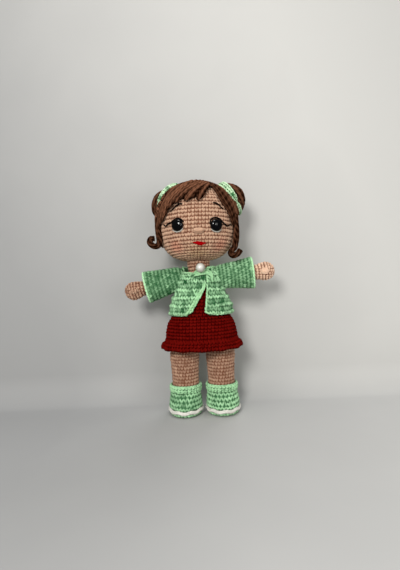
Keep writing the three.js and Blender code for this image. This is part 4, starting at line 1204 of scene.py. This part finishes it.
def make_bun(name):
    axis = bun_axis(name)
    first, second = axis_frame(axis)
    centre = axis * BUN_REACH + np.array((0, 0, HEAD_HEIGHT))
    work = Yarnwork()

    def place(p):
        return centre + p[..., 0:1] * first + p[..., 1:2] * second + p[..., 2:3] * axis

    turn = Tube(BUN_ROWS, place=place)
    # the bun's dark ground is painted shade between the coils
    add_ground(work, turn, 0.2, turn.length - 0.1, -0.6, around_count=40, tone=0.05)
    for layer, (turns, thick, tilt) in enumerate(((13, 1.0, 0.0), (12, 0.95, 0.5))):
        count = turns * 44
        t = np.linspace(0, 1, count)
        latitude = -0.62 + (math.pi / 2 + 0.62) * t
        slow = 0.05 * np.sin(2 * math.pi * t * turns * 1.37 + layer)
        wander = slow + tilt * 0.22 * np.sin(2 * math.pi * t * turns)
        latitude = np.clip(latitude + wander * np.cos(latitude), -0.75, math.pi / 2)
        angle = 2 * math.pi * t * turns + layer * 1.3
        radius = BUN_RADIUS - 0.2 + 0.35 * layer * np.sin(angle * 3.1)
        reach, up = (radius * np.cos(latitude))[:, None], (radius * np.sin(latitude))[:, None]
        path = centre + (first * np.cos(angle)[:, None] + second * np.sin(angle)[:, None]) * reach + axis * up
        tone = 0.24 + 0.2 * np.sin(angle * 0.31 + layer) + chance.normal(0, 0.06, count)
        add_strands(work, path, thick, tone=np.clip(tone, 0.05, 0.9)[None])
    bun = work.make(f"{name}_bun_coil", "hair")
    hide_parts(f"{name}_bun")
    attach(bun, "head")


RIBBON_WIDTHS = {"left": 0.66, "right": 0.8}
KNOTS = {"left": 0.0, "right": -0.6}


def make_ribbon(name, side):
    axis = bun_axis(name, RIBBON_ANGLES)
    first, second = axis_frame(axis)
    middle = axis * RIBBON_REACH[name] + np.array((0, 0, HEAD_HEIGHT))
    wide_way = np.array((0.0, -0.35, 0.94))

    def tied(p):
        """Puts the ribbon round its bun: wide on top, pinched at the knot and narrow below."""
        reach = np.maximum(np.hypot(p[..., 0], p[..., 1]), 1e-6)[..., None]
        out = (p[..., 0:1] * first + p[..., 1:2] * second) / reach
        way = (out @ wide_way)[..., None]
        front = np.clip(-out[..., 1:2] * 2, 0, 1)
        pinch = 0.4 * front * np.exp(-(((way - KNOTS[name]) / 0.14) ** 2))
        width = RIBBON_WIDTHS[name] + 0.5 * np.clip(way, -0.3, 1) - pinch
        p = p * (1 + 0.13 * np.clip(way * (side < 0), 0, 1) * (1, 1, 0))
        return (
            middle + p[..., 0:1] * first + p[..., 1:2] * second + p[..., 2:3] * axis * width
            - axis * 0.8 * (1 - width)
        )

    half = BAND_WIDTH * 0.72
    profile = [(-1, 0.7), (-0.5, 2.0), (0, 2.3), (0.5, 2.0), (1, 0.7)]
    band_tube = Tube([(half * up, BUN_RADIUS + proud) for up, proud in profile], place=tied)
    work = Yarnwork()
    add_wall(work, band_tube, 0.0, band_tube.length, -0.9, -2.2, around_count=64, step=1.0)

    def patches(p):
        across = np.abs((p - middle) @ axis + 0.8) / half
        return 0.2 - 0.9 * np.exp(-((across / 0.55) ** 2)) * (
            0.6 + 0.4 * np.sin(p[:, 2] * 0.5 + p[:, 0] * 0.3)
        )

    add_stitches(work, band_tube, 0.1, band_tube.length - 0.1, shade=patches, **RIBBON_STITCH)
    band = work.make(f"{name}_bun_ribbon", "ribbon")
    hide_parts(f"{name}_bun_band")
    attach(band, "head")


# Body

BODY_SHARES = [
    (0, 1, 1), (0.19, 0.93, 0.96), (0.39, 0.84, 0.905), (0.56, 0.76, 0.865), (0.71, 0.72, 0.835),
    (0.86, 0.68, 0.79), (0.95, 0.57, 0.71), (1, 0.45, 0.6),
]


def body_rows(growth, ease):
    """The body's rows, larger all round by growth, and looser toward the hem by ease."""
    rows = []
    for up, wide, deep in BODY_SHARES:
        loose = growth + ease * (1 - up) ** 1.5
        height = WAIST_HEIGHT + BODY_HEIGHT * up
        rows.append((height, BODY_HALF_WIDTH * wide + loose, BODY_HALF_DEPTH * deep + loose, 0.0))
    return rows


def make_bodice():
    bottom = [(WAIST_HEIGHT - 0.1, 8.0, 6.0, 0.0)]
    shoulders = [(134.0, 17.2, 15.2, 0.0), (134.4, 14.0, 13.0, 0.0), (134.6, 8.0, 8.0, 0.0)]
    tube = Tube(bottom + body_rows(0, 0)[:-2] + shoulders)
    work = Yarnwork()
    add_ground(work, tube, 0.2, tube.length - 0.2, -1.1)
    low, high = max(tube.along(WAIST_HEIGHT + 0.2), 20.0), tube.along(133.6)
    add_stitches(work, tube, low, high, **BODICE_STITCH)
    bodice = work.make("bodice_cloth", "red")
    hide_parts("bodice", "torso_stuffing")
    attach(bodice, "torso")


HIP_BOTTOM, HIP_HALF_WIDTH, HIP_HALF_DEPTH = 68.0, 31.0, 21.5
HIP_SHARES = [(0, 0.86, 0.72), (0.125, 0.96, 0.93), (0.375, 1, 1), (0.75, 0.96, 0.99)]


def make_hips():
    depth = WAIST_HEIGHT - GAP - HIP_BOTTOM
    rows = [(HIP_BOTTOM + depth * u, HIP_HALF_WIDTH * w, HIP_HALF_DEPTH * d, 0.0) for u, w, d in HIP_SHARES]
    rows = [(HIP_BOTTOM - 1.0, 14.0, 8.0, 0.0)] + rows + [(89.0, 26.0, 18.4, 0.0)]
    tube = Tube(rows)
    work = Yarnwork()
    add_ground(work, tube, 0.2, tube.length - 0.2, -1.1)
    add_stitches(work, tube, 1.0, 20.0, **HIPS_STITCH)
    hips = work.make("hips_skin", "skin")
    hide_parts("hips")
    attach(hips, "torso")


SKIRT_ROWS = [
    (SKIRT_BOTTOM, 36.4, 30.0, 0.0), (81.0, 34.83, 27.97, 0.0), (87.5, 33.0, 25.6, 0.0),
    (WAIST_HEIGHT - 0.6, 30.8, 23.0, 0.0),
]


def make_skirt():
    tube = Tube(SKIRT_ROWS)
    work = Yarnwork()
    wall_tube = Tube(SKIRT_ROWS + [(92.6, 29.6, 21.8, 0.0)])
    add_wall(work, wall_tube, 0.0, wall_tube.length, -1.1, -2.2)
    skirt = work.make("skirt_cloth", "red")
    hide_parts("skirt")
    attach(skirt, "torso")
    work = Yarnwork()
    tall = Tube(SKIRT_ROWS + [(WAIST_HEIGHT + 2.2, 29.0, 21.2, 0.0)])
    add_stitches(work, tall, 0.0, tall.length, **SKIRT_STITCH)
    add_stitches(work, tube, 0.0, 7.0, **HEM_LINING_STITCH)
    stitches = work.make("skirt_stitches", "red")
    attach(stitches, "torso")


RUFFLE_WAVES = 12
RUFFLE_TOP = SKIRT_BOTTOM - GAP
RUFFLE_ROWS = [
    (RUFFLE_TOP - RUFFLE_HEIGHT, 36.4 + RUFFLE_FLARE, 30.0 + RUFFLE_FLARE, 0.0),
    (RUFFLE_TOP - RUFFLE_HEIGHT * 0.62, 39.9, 33.5, 0.0),
    (RUFFLE_TOP - RUFFLE_HEIGHT / 3, 39.6, 33.2, 0.0),
    (RUFFLE_TOP, 36.4, 30.0, 0.0),
]


def make_ruffle():
    def swell(around, along):
        return 0.9 * (1 - np.clip(along / 8.0, 0, 1)) * np.cos(2 * math.pi * RUFFLE_WAVES * around)

    tube = Tube(RUFFLE_ROWS, swell=swell)
    work = Yarnwork()
    wall_tube = Tube(RUFFLE_ROWS + [(SKIRT_BOTTOM + 1.6, 36.3, 29.9, 0.0)], swell=swell)
    add_wall(work, wall_tube, 0.0, wall_tube.length, -1.15, -2.3, around_count=144)
    ruffle = work.make("ruffle_cloth", "red")
    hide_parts("skirt_ruffle")
    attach(ruffle, "torso")
    work = Yarnwork()
    tall = Tube(RUFFLE_ROWS + [(SKIRT_BOTTOM + 2.0, 36.3, 29.9, 0.0)], swell=swell)
    add_stitches(work, tall, 0.2, tall.length, **RUFFLE_STITCH)
    add_stitches(work, tube, 0.0, 6.0, **HEM_LINING_STITCH)
    frill = work.make("ruffle_stitches", "red")
    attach(frill, "torso")


# Cardigan


def edge_angle(tube, table, up):
    """How far round the coat a front edge is at a height, in turns from the front."""
    places = sorted((COAT_BOTTOM + u * (COLLAR_TOP - COAT_BOTTOM), x * BODY_HALF_WIDTH) for x, u in table)
    across = np.interp(up, *zip(*places))
    along = tube.along(up)
    wide = np.interp(along, tube.at_length, tube.curve[:, 1])
    angle = np.arcsin(np.clip(across / wide, -0.98, 0.98))
    return np.sign(angle) * tube.share(np.abs(angle))


NECKLINE = [
    (-30.0, 141.0), (-21.0, 139.4), (-17.0, 138.0), (-12.7, 137.0), (-7.0, 136.4), (-4.0, 135.5),
    (-1, 134.6), (3, 134.8), (6, 137.0), (8, 139.2), (14, 141.0),
]


def neckline(tube, around, along):
    """The highest place of the coat round the neck: lower at the doll's right front."""
    angle = (tube.angle(around) + math.pi) % (2 * math.pi) - math.pi
    wide = np.interp(along, tube.at_length, tube.curve[:, 1])
    across = np.where(np.abs(angle) < math.pi / 2, wide * np.sin(angle), -99.0)
    return np.interp(across, *zip(*NECKLINE), left=141.5, right=141.0)


RIDGE_PITCH, COAT_GIRTH = 7.9, 160


def make_cardigan():
    rows = body_rows(GAP + COAT_WALL, COAT_EASE)
    rows[0] = (COAT_BOTTOM, rows[0][1], rows[0][2], 0.0)
    rows.append((COLLAR_TOP, COLLAR_RADIUS + GAP + COAT_WALL, COLLAR_RADIUS + GAP + COAT_WALL, 0.0))

    def swell(around, along):
        """Ridges, drawn in at the hem. The coat hangs out on the doll's left and clings on its right."""
        side = np.sin(2 * math.pi * around)
        ridges = 0.6 * np.cos(2 * math.pi * (along - 2.2) / RIDGE_PITCH)
        drawn_in = 2.2 * np.exp(-((np.maximum(along, 0) / 2.4) ** 2))
        full = 1.7 * np.clip(side, 0, 1) * np.exp(-(((along - 11) / 7.5) ** 2))
        close = 1.5 * np.clip(-side, 0, 1) * np.exp(-((along / 4.0) ** 2))
        return ridges - drawn_in + (full - close)

    tube = Tube(rows, swell=swell)
    rows_count, columns = 34, 120
    share = np.linspace(0, 1, rows_count + 1)[:, None]
    q = np.linspace(0, 1, columns + 1)[None, :]
    up_guess = COAT_BOTTOM + share * (COLLAR_TOP - COAT_BOTTOM)
    left = edge_angle(tube, COAT_LEFT_EDGE, up_guess)
    right = edge_angle(tube, COAT_RIGHT_EDGE, up_guess)
    around = left + q * (1 + right - left)
    low = tube.along(COAT_BOTTOM)
    top = tube.along(neckline(tube, around, tube.along(up_guess)))
    along = low + share * (top - low)
    outer, inner = tube.at(around, along, -1.0), tube.at(around, along, -2.2)
    size = outer.shape[0] * outer.shape[1]
    index = np.arange(size).reshape(outer.shape[:2])
    quads = np.stack([index[:-1, :-1], index[:-1, 1:], index[1:, 1:], index[1:, :-1]], -1).reshape(-1, 4)
    rim = np.concatenate([index[0, :-1], index[:-1, -1], index[-1, :0:-1], index[:0:-1, 0]])
    sides = np.stack([rim, rim + size, np.roll(rim, -1) + size, np.roll(rim, -1)], -1)
    work = Yarnwork()
    # the cloth's low tone is painted shade where it shows between the stitches
    work.add(
        np.concatenate([outer.reshape(-1, 3), inner.reshape(-1, 3)]),
        np.concatenate([quads, quads[:, ::-1] + size, sides]), tone=0.12,
    )
    coat = work.make("cardigan_cloth", "mint")
    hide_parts("cardigan")
    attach(coat, "torso")

    def worn(points, starts):
        up = points[..., 2]
        lefts, rights = edge_angle(tube, COAT_LEFT_EDGE, up), edge_angle(tube, COAT_RIGHT_EDGE, up)
        turn = np.mod(starts - lefts, 1)
        edge = 1.6 / COAT_GIRTH
        high = neckline(tube, starts, tube.along(up))
        return (turn > edge) & (turn < 1 + rights - lefts - edge) & (up < high - 0.6)

    levels = low + 2.2 + RIDGE_PITCH * np.arange(5)

    # Painted shade on the cardigan's stitches: the valleys between the ridges darker than the ridges, the
    # doll's left front darker than its right, and a painted shadow under the tab
    def painted_tab_shadow(points):
        across, up = (points[:, 0] - 4.2) / 4.6, (points[:, 2] - 133.0) / 2.2
        return 1.2 * np.exp(-(across**2) - up**2)

    def valley(points):
        return -0.44 - 0.08 * (points[:, 0] > 0)

    def ridge(points):
        return -0.14 - 0.1 * (points[:, 0] > 0) - painted_tab_shadow(points)

    def yoke(points):
        return -0.2 - painted_tab_shadow(points)

    work = Yarnwork()
    for rows, shade, stitch in (
        (levels[:-1] + 4.1, valley, COAT_VALLEY_STITCH),
        (levels, ridge, COAT_RIDGE_STITCH),
        (levels[-1] + 3.4 * np.arange(1, 6), yoke, COAT_YOKE_STITCH),
    ):
        add_stitches(work, tube, low, tube.length, keep=worn, rows=rows, shade=shade, **stitch)
    knit = work.make("cardigan_stitches", "mint")
    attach(knit, "torso")

    # the edging that runs up one front, round the neck and down the other, and along the hem
    inset = 1.0 / COAT_GIRTH
    front_left = tube.at(around[:, 0] + inset, along[:, 0], -0.9)
    neck_edge = tube.at(around[-1], along[-1], -0.9)
    front_right = tube.at(around[::-1, -1] - inset, along[::-1, -1], -0.9)
    hem = tube.at(around[0, ::-1], along[0, ::-1] + 1.0, -0.9)
    border = smooth_path(
        np.concatenate([front_right[8:-3:2], hem[3:-4:2], front_left[3:-1:2], neck_edge[:-6:2]]), 900
    )
    work = Yarnwork()
    add_chain(work, border, 3.0, 2.5)
    second = tube.at(around[1:-8, -4] + inset / 2, along[1:-8, -4], -0.5)
    add_chain(work, smooth_path(second, 300), 2.9, 2.5, turn=-24.0)
    edging = work.make("cardigan_edging", "mint_painted_light")
    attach(edging, "torso")


TAB_PATH = [
    (-4.6, 135.4), (-1.0, 135.8), (3.0, 136.4), (7.0, 136.6), (10.6, 135.2), (12.6, 132.0), (12.4, 129.0)
]


def make_tab():
    rows = body_rows(GAP * 2 + COAT_WALL + 1.6, COAT_EASE)
    rows[0] = (COAT_BOTTOM, rows[0][1], rows[0][2], 0.0)
    radius = COLLAR_RADIUS + GAP * 2 + COAT_WALL + 1.6
    rows.append((COLLAR_TOP + 0.5, radius, radius, 0.0))
    tube = Tube(rows)

    def laid(places, out):
        places = np.asarray(places, float)
        wide = np.interp(tube.along(places[:, 1]), tube.at_length, tube.curve[:, 1])
        angle = np.arcsin(np.clip(places[:, 0] / wide, -0.98, 0.98))
        return tube.at(np.sign(angle) * tube.share(np.abs(angle)), tube.along(places[:, 1]), out)

    work = Yarnwork()
    middle = smooth_path(TAB_PATH, 60)
    for across, thick, turn in ((1.7, 2.4, 20.0), (-0.2, 2.5, -22.0), (-2.0, 2.3, 20.0)):
        add_chain(work, laid(middle + (0.0, across), -0.4), 2.8, thick, turn=turn)
    inner = laid(middle + (0.0, 1.6), -1.5)
    outer = laid(middle - (0.0, 1.8), -1.5)
    add_strands(work, (inner + outer) / 2, 1.9, sides=8, tone=0.3, flat=0.5)
    tab = work.make("cardigan_tab_knit", "mint_painted_light")
    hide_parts("cardigan_tab")
    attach(tab, "torso")


PEARL_RADIUS = 4.6


def make_pearl():
    bpy.ops.object.select_all(action="DESELECT")
    depth = COLLAR_RADIUS + GAP * 2 + COAT_WALL + 2.0 + PEARL_RADIUS - 1.4
    place = (1.6 * MM, -depth * MM, (COLLAR_TOP - 1.3) * MM)
    bpy.ops.mesh.primitive_uv_sphere_add(
        segments=48, ring_count=24, radius=PEARL_RADIUS * MM, location=place,
        rotation=(0, math.radians(80), 0),
    )
    pearl = bpy.context.active_object
    pearl.name = "pearl_bead"
    bpy.ops.object.transform_apply(location=True, rotation=True, scale=True)
    bpy.ops.object.shade_smooth()
    pearl.data.materials.append(PEARL_FINISH)
    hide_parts("pearl_button")
    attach(pearl, "torso")


# Arms and sleeves


HAND_SHARES = [(0.78, 0.97), (0.86, 1.0), (0.93, 0.82), (0.98, 0.47), (1.0, 0.0)]
THUMB_ALONG = 45.2


def arm_rows():
    shoulder = [(-ARM_RADIUS, 0.0), (-ARM_RADIUS * 0.75, 5.6), (-ARM_RADIUS * 0.4, 7.8)]
    arm = [(0, 8.5), (16.95, 8.33), (31.1, 7.65), (38.4, 7.65)]
    hand = [(ARM_LENGTH * along, HAND_RADIUS * radius) for along, radius in HAND_SHARES]
    return shoulder + arm + hand


def arm_place(name, side):
    return limb_place(side, (side * SHOULDER_ACROSS, 0.0, SHOULDER_HEIGHT), ARM_ANGLES[name])


def make_arm(name, side):
    place = arm_place(name, side)
    tube = Tube(arm_rows(), place=place)
    work = Yarnwork()
    add_ground(work, tube, 0.05, tube.length - 0.05, -1.05, around_count=40)
    start = tube.along(24.0)
    add_stitches(work, tube, start, tube.length - 1.0, shade=HAND_PAINTED_SHADE[name], **HAND_STITCH)
    arm = work.make(f"{name}_arm_skin", "painted_lit_skin" if side > 0 else "skin")
    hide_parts(f"{name}_arm", f"{name}_arm_stuffing")
    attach(arm, f"{name}_arm")


THUMB_ROWS = [(-4.3, 0.0), (-3.6, 1.7), (-1.8, 3.0), (0.0, 3.3), (1.8, 3.0), (3.6, 1.7), (4.3, 0.0)]


def make_thumb(name, side):
    place = arm_place(name, side)
    work = Yarnwork()
    if side > 0:
        for turn in (-2.1, -1.1, 0.0, 1.1, 2.1):
            t = np.linspace(-1, 1, 15)
            bulge = np.sqrt(np.maximum(0, 1 - t**2))
            across = turn * (0.45 + 0.75 * bulge)
            forward = -HAND_RADIUS - 0.2 - (2.0 - 0.25 * turn**2) * bulge + 0.6
            path = place(np.stack([across, forward, THUMB_ALONG + t * (4.0 - 0.12 * turn**2)], -1))
            tone = 0.85 + chance.normal(0, 0.08)
            add_strands(
                work, path, 0.8, sides=7, tone=tone, taper=lambda t: 0.55 + 0.45 * np.sin(math.pi * t) ** 0.5
            )
    else:
        on_palm = np.array((0.0, -HAND_RADIUS + 0.6, THUMB_ALONG))
        bobble = Tube(THUMB_ROWS, place=lambda p: place(p + on_palm))
        add_ground(work, bobble, 0.05, bobble.length - 0.05, -0.8, around_count=20, step=0.8)
        add_stitches(work, bobble, 1.0, bobble.length - 1.0, **THUMB_STITCH)
    thumb = work.make(f"{name}_thumb_bobble", "painted_lit_skin" if side > 0 else "skin")
    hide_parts(f"{name}_thumb")
    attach(thumb, f"{name}_arm")


SLEEVE_ROWS = [
    (-7.0, 6.4, 6.4, 0.0),
    (-5.0, 8.6, 8.6, 0.0),
    (-SLEEVE_START, SLEEVE_ROOT, SLEEVE_ROOT, 0.0),
    (SLEEVE_LENGTH * 0.35, 12.9, 11.9, 0.0),
    (SLEEVE_LENGTH * 0.7, 14.6, 12.5, 0.0),
    (SLEEVE_LENGTH, SLEEVE_CUFF, SLEEVE_CUFF * SLEEVE_FLAT, 0.0),
]


def make_sleeve(name, side):
    place = arm_place(name, side)
    tube = Tube(SLEEVE_ROWS, place=place)
    work = Yarnwork()
    add_wall(work, tube, 0.0, tube.length, -1.05, -2.1, around_count=64)
    sleeve = work.make(f"{name}_sleeve_cloth", "mint")
    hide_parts(f"{name}_sleeve")
    work = Yarnwork()
    add_stitches(work, tube, 1.6, tube.length - 0.8, shade=SLEEVE_PAINTED_SHADE[name], **SLEEVE_STITCH)
    add_stitches(work, tube, tube.length - 12.0, tube.length - 0.5, **SLEEVE_LINING_STITCH)
    around = np.arange(200) / 200
    rim = tube.at(around, tube.length - 0.4, -1.1)
    # bright: painted light on the cuff's rim chain
    add_ring_chain(work, rim, 3.1, 2.3, bright=0.2)
    knit = work.make(f"{name}_sleeve_stitches", "mint")
    for piece in (sleeve, knit):
        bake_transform(piece)


# Legs and boots

LEG_ROWS = [
    (FOOT_BOTTOM, 0.0), (FOOT_BOTTOM + 0.3, 6.0), (FOOT_BOTTOM + 1.0, 10.5), (12.0, 13.2),
    (ANKLE_HEIGHT, ANKLE_RADIUS), (44.0, 13.8), (HIP_HEIGHT, LEG_RADIUS), (64.2, 12.5), (69.5, 7.2),
    (71.4, 0.0),
]


def make_leg(name, side):
    tube = Tube(LEG_ROWS, place=shifted(side * HIP_ACROSS, 0, 0))
    work = Yarnwork()
    add_ground(work, tube, 0.1, tube.length - 0.1, -1.1, around_count=56)
    add_stitches(work, tube, tube.along(23.0), tube.length - 2.0, **LEG_STITCH)
    leg = work.make(f"{name}_leg_skin", "skin")
    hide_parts(f"{name}_leg", f"{name}_leg_stuffing")
    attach(leg, f"{name}_leg")


BOOT_BOTTOM = 5.8
BOOT_ROWS = [
    (BOOT_BOTTOM, 16.1, 21.0, 5.0),
    (8.9, 16.1, 20.37, 4.75),
    (12.0, 15.78, 18.48, 3.25),
    (16.0, 15.3, 16.3, 1.0),
    (20.0, 14.7, 14.7, 0.0),
]


def make_boot(name, side):
    place = shifted(side * BOOT_ACROSS, 0, 0)
    tube = Tube([(BOOT_BOTTOM - 0.05, 5.0, 8.0, 5.0)] + BOOT_ROWS + [(20.3, 6.0, 6.0, 0.0)], place=place)
    work = Yarnwork()
    add_ground(work, tube, 0.2, tube.length - 0.2, -1.05, around_count=72)
    upper = Tube(BOOT_ROWS, place=place)
    add_stitches(work, upper, 0.0, upper.length - 0.2, shade=BOOT_PAINTED_SHADE[name], **BOOT_STITCH)
    boot = work.make(f"{name}_boot_upper", "mint")
    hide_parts(f"{name}_boot")
    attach(boot, f"{name}_leg")


def make_cuff(name, side):
    across = side * (HIP_ACROSS + BOOT_ACROSS) / 2
    tube = Tube([(20.1, 15.3), (23.3, 15.9), (26.5, 15.4)], place=shifted(across, 0, 0))
    work = Yarnwork()
    band = Tube([(18.7, 14.9), (23.3, 15.9), (26.5, 15.4)], place=shifted(across, 0, 0))
    add_wall(work, band, 0.0, band.length, -1.0, -1.9, around_count=56, step=1.2)
    add_stitches(work, tube, 0.0, tube.length, **CUFF_STITCH)
    rim = tube.at(np.arange(160) / 160, tube.length - 0.3, -1.0)
    add_ring_chain(work, rim, 3.1, 1.9)
    cuff = work.make(f"{name}_boot_cuff_knit", "mint")
    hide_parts(f"{name}_boot_cuff")
    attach(cuff, f"{name}_leg")


WELT_ROWS = [(2.6, 16.4, 21.3, 5.0), (4.4, 17.2, 22.1, 5.0), (6.2, 16.4, 21.3, 5.0)]
WELT_CHAINS = ((0.9, 0.9, 22.0), (2.2, 0.55, -20.0), (3.4, 1.0, 16.0))


def make_welt(name, side):
    place = shifted(side * BOOT_ACROSS, 0, 0)
    work = Yarnwork()
    around = np.arange(240) / 240
    welt_tube = Tube(WELT_ROWS, place=place)
    for level, shrink, slope in WELT_CHAINS:
        path = welt_tube.at(around, level, -shrink)
        path[:, 2] += 0.45 * np.sin(2 * math.pi * 9 * around + side)
        add_ring_chain(work, path, 3.0, 2.0, turn=slope)
    add_wall(work, welt_tube, 0.3, welt_tube.length - 0.3, -1.1, -4.2, around_count=72, step=0.9, tone=0.5)
    welt = work.make(f"{name}_boot_trim", "white")
    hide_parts(f"{name}_boot_welt")
    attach(welt, f"{name}_leg")


SOLE_ROWS = [
    (0.9, 5.0, 8.0, 5.0), (0.95, 14.6, 19.5, 5.0), (1.5, 15.8, 20.7, 5.0), (3.4, 16.0, 20.9, 5.0),
    (3.45, 6.0, 9.0, 5.0),
]
SOLE_EDGE_ROWS = [(0.2, 15.6, 20.5, 5.0), (3.4, 16.0, 20.9, 5.0)]
SOLE_UNDER_ROWS = [
    (1.0, 0.8, 5.6, 5.0), (1.02, 5.5, 10.4, 5.0), (1.04, 10.5, 15.4, 5.0), (1.06, 15.2, 20.1, 5.0)
]


def make_sole(name, side):
    place = shifted(side * BOOT_ACROSS, 0, 0)
    sole_tube = Tube(SOLE_ROWS, place=place)
    work = Yarnwork()
    add_ground(work, sole_tube, 0.2, sole_tube.length - 0.2, -0.35, around_count=72, step=1.0, tone=0.3)
    low = Tube(SOLE_EDGE_ROWS, place=place)
    add_stitches(work, low, 0.1, low.length, **SOLE_EDGE_STITCH)
    under = Tube(SOLE_UNDER_ROWS, place=place)
    add_stitches(work, under, 0.2, under.length, **SOLE_STITCH)
    sole = work.make(f"{name}_boot_sole_knit", "mint")
    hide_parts(f"{name}_boot_sole")
    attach(sole, f"{name}_leg")


EYE_FINISH, PEARL_FINISH = eye_finish(), pearl_finish()
make_head()
make_neck()
for name, side in SIDES.items():
    make_eye(name, side)
    make_eye_crescent(name, side)
    make_lashes(name, side)
    make_brow(name)
make_nose()
make_mouth()
make_cap()
make_fringe()
make_side_sweep()
for name in SIDES:
    make_lock(name)
for name, side in SIDES.items():
    make_bun(name)
    make_ribbon(name, side)
make_bodice()
make_hips()
make_skirt()
make_ruffle()
make_cardigan()
make_tab()
make_pearl()
for name, side in SIDES.items():
    make_arm(name, side)
    make_thumb(name, side)
    make_sleeve(name, side)
for name, side in SIDES.items():
    make_leg(name, side)
    make_boot(name, side)
    make_cuff(name, side)
    make_welt(name, side)
    make_sole(name, side)

# Stage and lights


def stage_finish():
    """Pale card with painted shade, greyer at the lower left and lighter at the upper right. It is seen from
    its front, and only its floor lights the doll.
    """
    finish, tree, shader = new_finish("stage_card", 0.9)
    shader.inputs["Specular IOR Level"].default_value = 0.1
    place = tree.nodes.new("ShaderNodeTexCoord").outputs["Object"]
    cloudy = noise(tree, 9.0, 3.0, place)
    parts = tree.nodes.new("ShaderNodeSeparateXYZ")
    wire(tree, place, parts.inputs[0])
    # painted shade and light on the card: darker to the lower left, lighter to the upper right
    slope = math_node(
        tree, "ADD", math_node(tree, "MULTIPLY", parts.outputs[0], 2.4),
        math_node(tree, "MULTIPLY", parts.outputs[2], 1.1),
    )
    lean = math_node(
        tree, "ADD", math_node(tree, "ADD", slope, 0.2), math_node(tree, "MULTIPLY", cloudy, 0.25)
    )
    clamp = tree.nodes.new("ShaderNodeClamp")
    wire(tree, lean, clamp.inputs[0])
    wire(
        tree, blend_colours(tree, clamp.outputs[0], linear(163, 163, 162), linear(208, 207, 203)),
        shader.inputs["Base Color"],
    )
    output = tree.nodes["Material Output"]
    clear = tree.nodes.new("ShaderNodeBsdfTransparent")
    mixed = tree.nodes.new("ShaderNodeMixShader")
    path = tree.nodes.new("ShaderNodeLightPath")
    side = tree.nodes.new("ShaderNodeNewGeometry")
    front = math_node(tree, "SUBTRACT", 1.0, side.outputs["Backfacing"])
    high = tree.nodes.new("ShaderNodeSeparateXYZ")
    wire(tree, place, high.inputs[0])
    on_floor = math_node(
        tree, "MULTIPLY", math_node(tree, "LESS_THAN", high.outputs[2], 0.003),
        math_node(tree, "SUBTRACT", 1.0, path.outputs["Is Glossy Ray"]),
    )
    seen = math_node(tree, "MAXIMUM", path.outputs["Is Camera Ray"], on_floor)
    wire(tree, math_node(tree, "MULTIPLY", seen, front), mixed.inputs[0])
    wire(tree, clear.outputs[0], mixed.inputs[1])
    wire(tree, shader.outputs[0], mixed.inputs[2])
    wire(tree, mixed.outputs[0], output.inputs["Surface"])
    return finish


def make_stage():
    """A pale floor that curves up close behind the doll."""
    across = np.linspace(-0.7, 0.7, 2)
    profile = [(-0.9, 0.0), (0.0, 0.0)]
    profile += [
        (0.016 + 0.03 * math.sin(a), 0.03 - 0.03 * math.cos(a)) for a in np.linspace(0, math.pi / 2, 10)
    ]
    profile += [(0.046, 0.2), (0.046, 0.75)]
    points = [(x, y, z - 0.0006) for y, z in profile for x in across]
    faces = [(2 * k, 2 * k + 1, 2 * k + 3, 2 * k + 2) for k in range(len(profile) - 1)]
    mesh = bpy.data.meshes.new("stage")
    mesh.from_pydata(points, [], faces)
    mesh.polygons.foreach_set("use_smooth", np.ones(len(faces), bool))
    stage = bpy.data.objects.new("stage", mesh)
    bpy.context.scene.collection.objects.link(stage)
    mesh.materials.append(stage_finish())


def area_lamp(name, place, target, size, power, colour=(1.0, 1.0, 1.0)):
    data = bpy.data.lights.new(name, "AREA")
    data.size = size
    data.energy = power
    data.color = colour
    lamp = bpy.data.objects.new(name, data)
    bpy.context.scene.collection.objects.link(lamp)
    lamp.location = place
    lamp.rotation_mode = "QUATERNION"
    lamp.rotation_quaternion = (Vector(target) - Vector(place)).to_track_quat("-Z", "Y")


def make_light():
    world = bpy.data.worlds.new("studio")
    bpy.context.scene.world = world
    world.use_nodes = True
    background = world.node_tree.nodes["Background"]
    background.inputs["Color"].default_value = (0.95, 0.97, 1.0, 1.0)
    tree = world.node_tree
    path = tree.nodes.new("ShaderNodeLightPath")
    dimmed = math_node(tree, "MULTIPLY", path.outputs["Is Glossy Ray"], 0.26)
    wire(tree, math_node(tree, "SUBTRACT", 0.3, dimmed), background.inputs["Strength"])
    area_lamp("key", (-0.2, -0.71, 0.39), (0, 0, 0.12), 0.2, 4.2, (1.0, 0.985, 0.96))
    area_lamp("above", (-0.05, -0.22, 0.95), (0, 0, 0.12), 0.3, 1.7, (1.0, 0.99, 0.97))
    area_lamp("behind", (0.3, 0.7, 0.6), (0, 0, 0.12), 0.5, 3.0)
    area_lamp("side", (0.4, -0.55, 0.2), (0.02, 0, 0.14), 0.3, 0.72, (1.0, 0.98, 0.95))
    for number, place in enumerate(((0.12, -0.5, 0.3), (-0.1, -0.5, 0.12), (0.16, -0.45, 0.1))):
        area_lamp(f"glint_{number}", place, (0, 0, 0.18), 0.02, 0.06)


def make_camera():
    data = bpy.data.cameras.new("camera")
    data.lens = 24.0
    data.sensor_width = 36.0
    data.shift_x = 0.001
    camera = bpy.data.objects.new("camera", data)
    bpy.context.scene.collection.objects.link(camera)
    roll = math.radians(2.5)
    right, up, back = (math.cos(roll), 0, -math.sin(roll)), (math.sin(roll), 0, math.cos(roll)), (0, -1, 0)
    matrix = Matrix([(right[k], up[k], back[k], (0, -0.38, 0.124)[k]) for k in range(3)] + [(0, 0, 0, 1)])
    camera.matrix_world = matrix
    bpy.context.scene.camera = camera


make_stage()
make_light()
make_camera()
bpy.context.scene.view_settings.view_transform = "Standard"
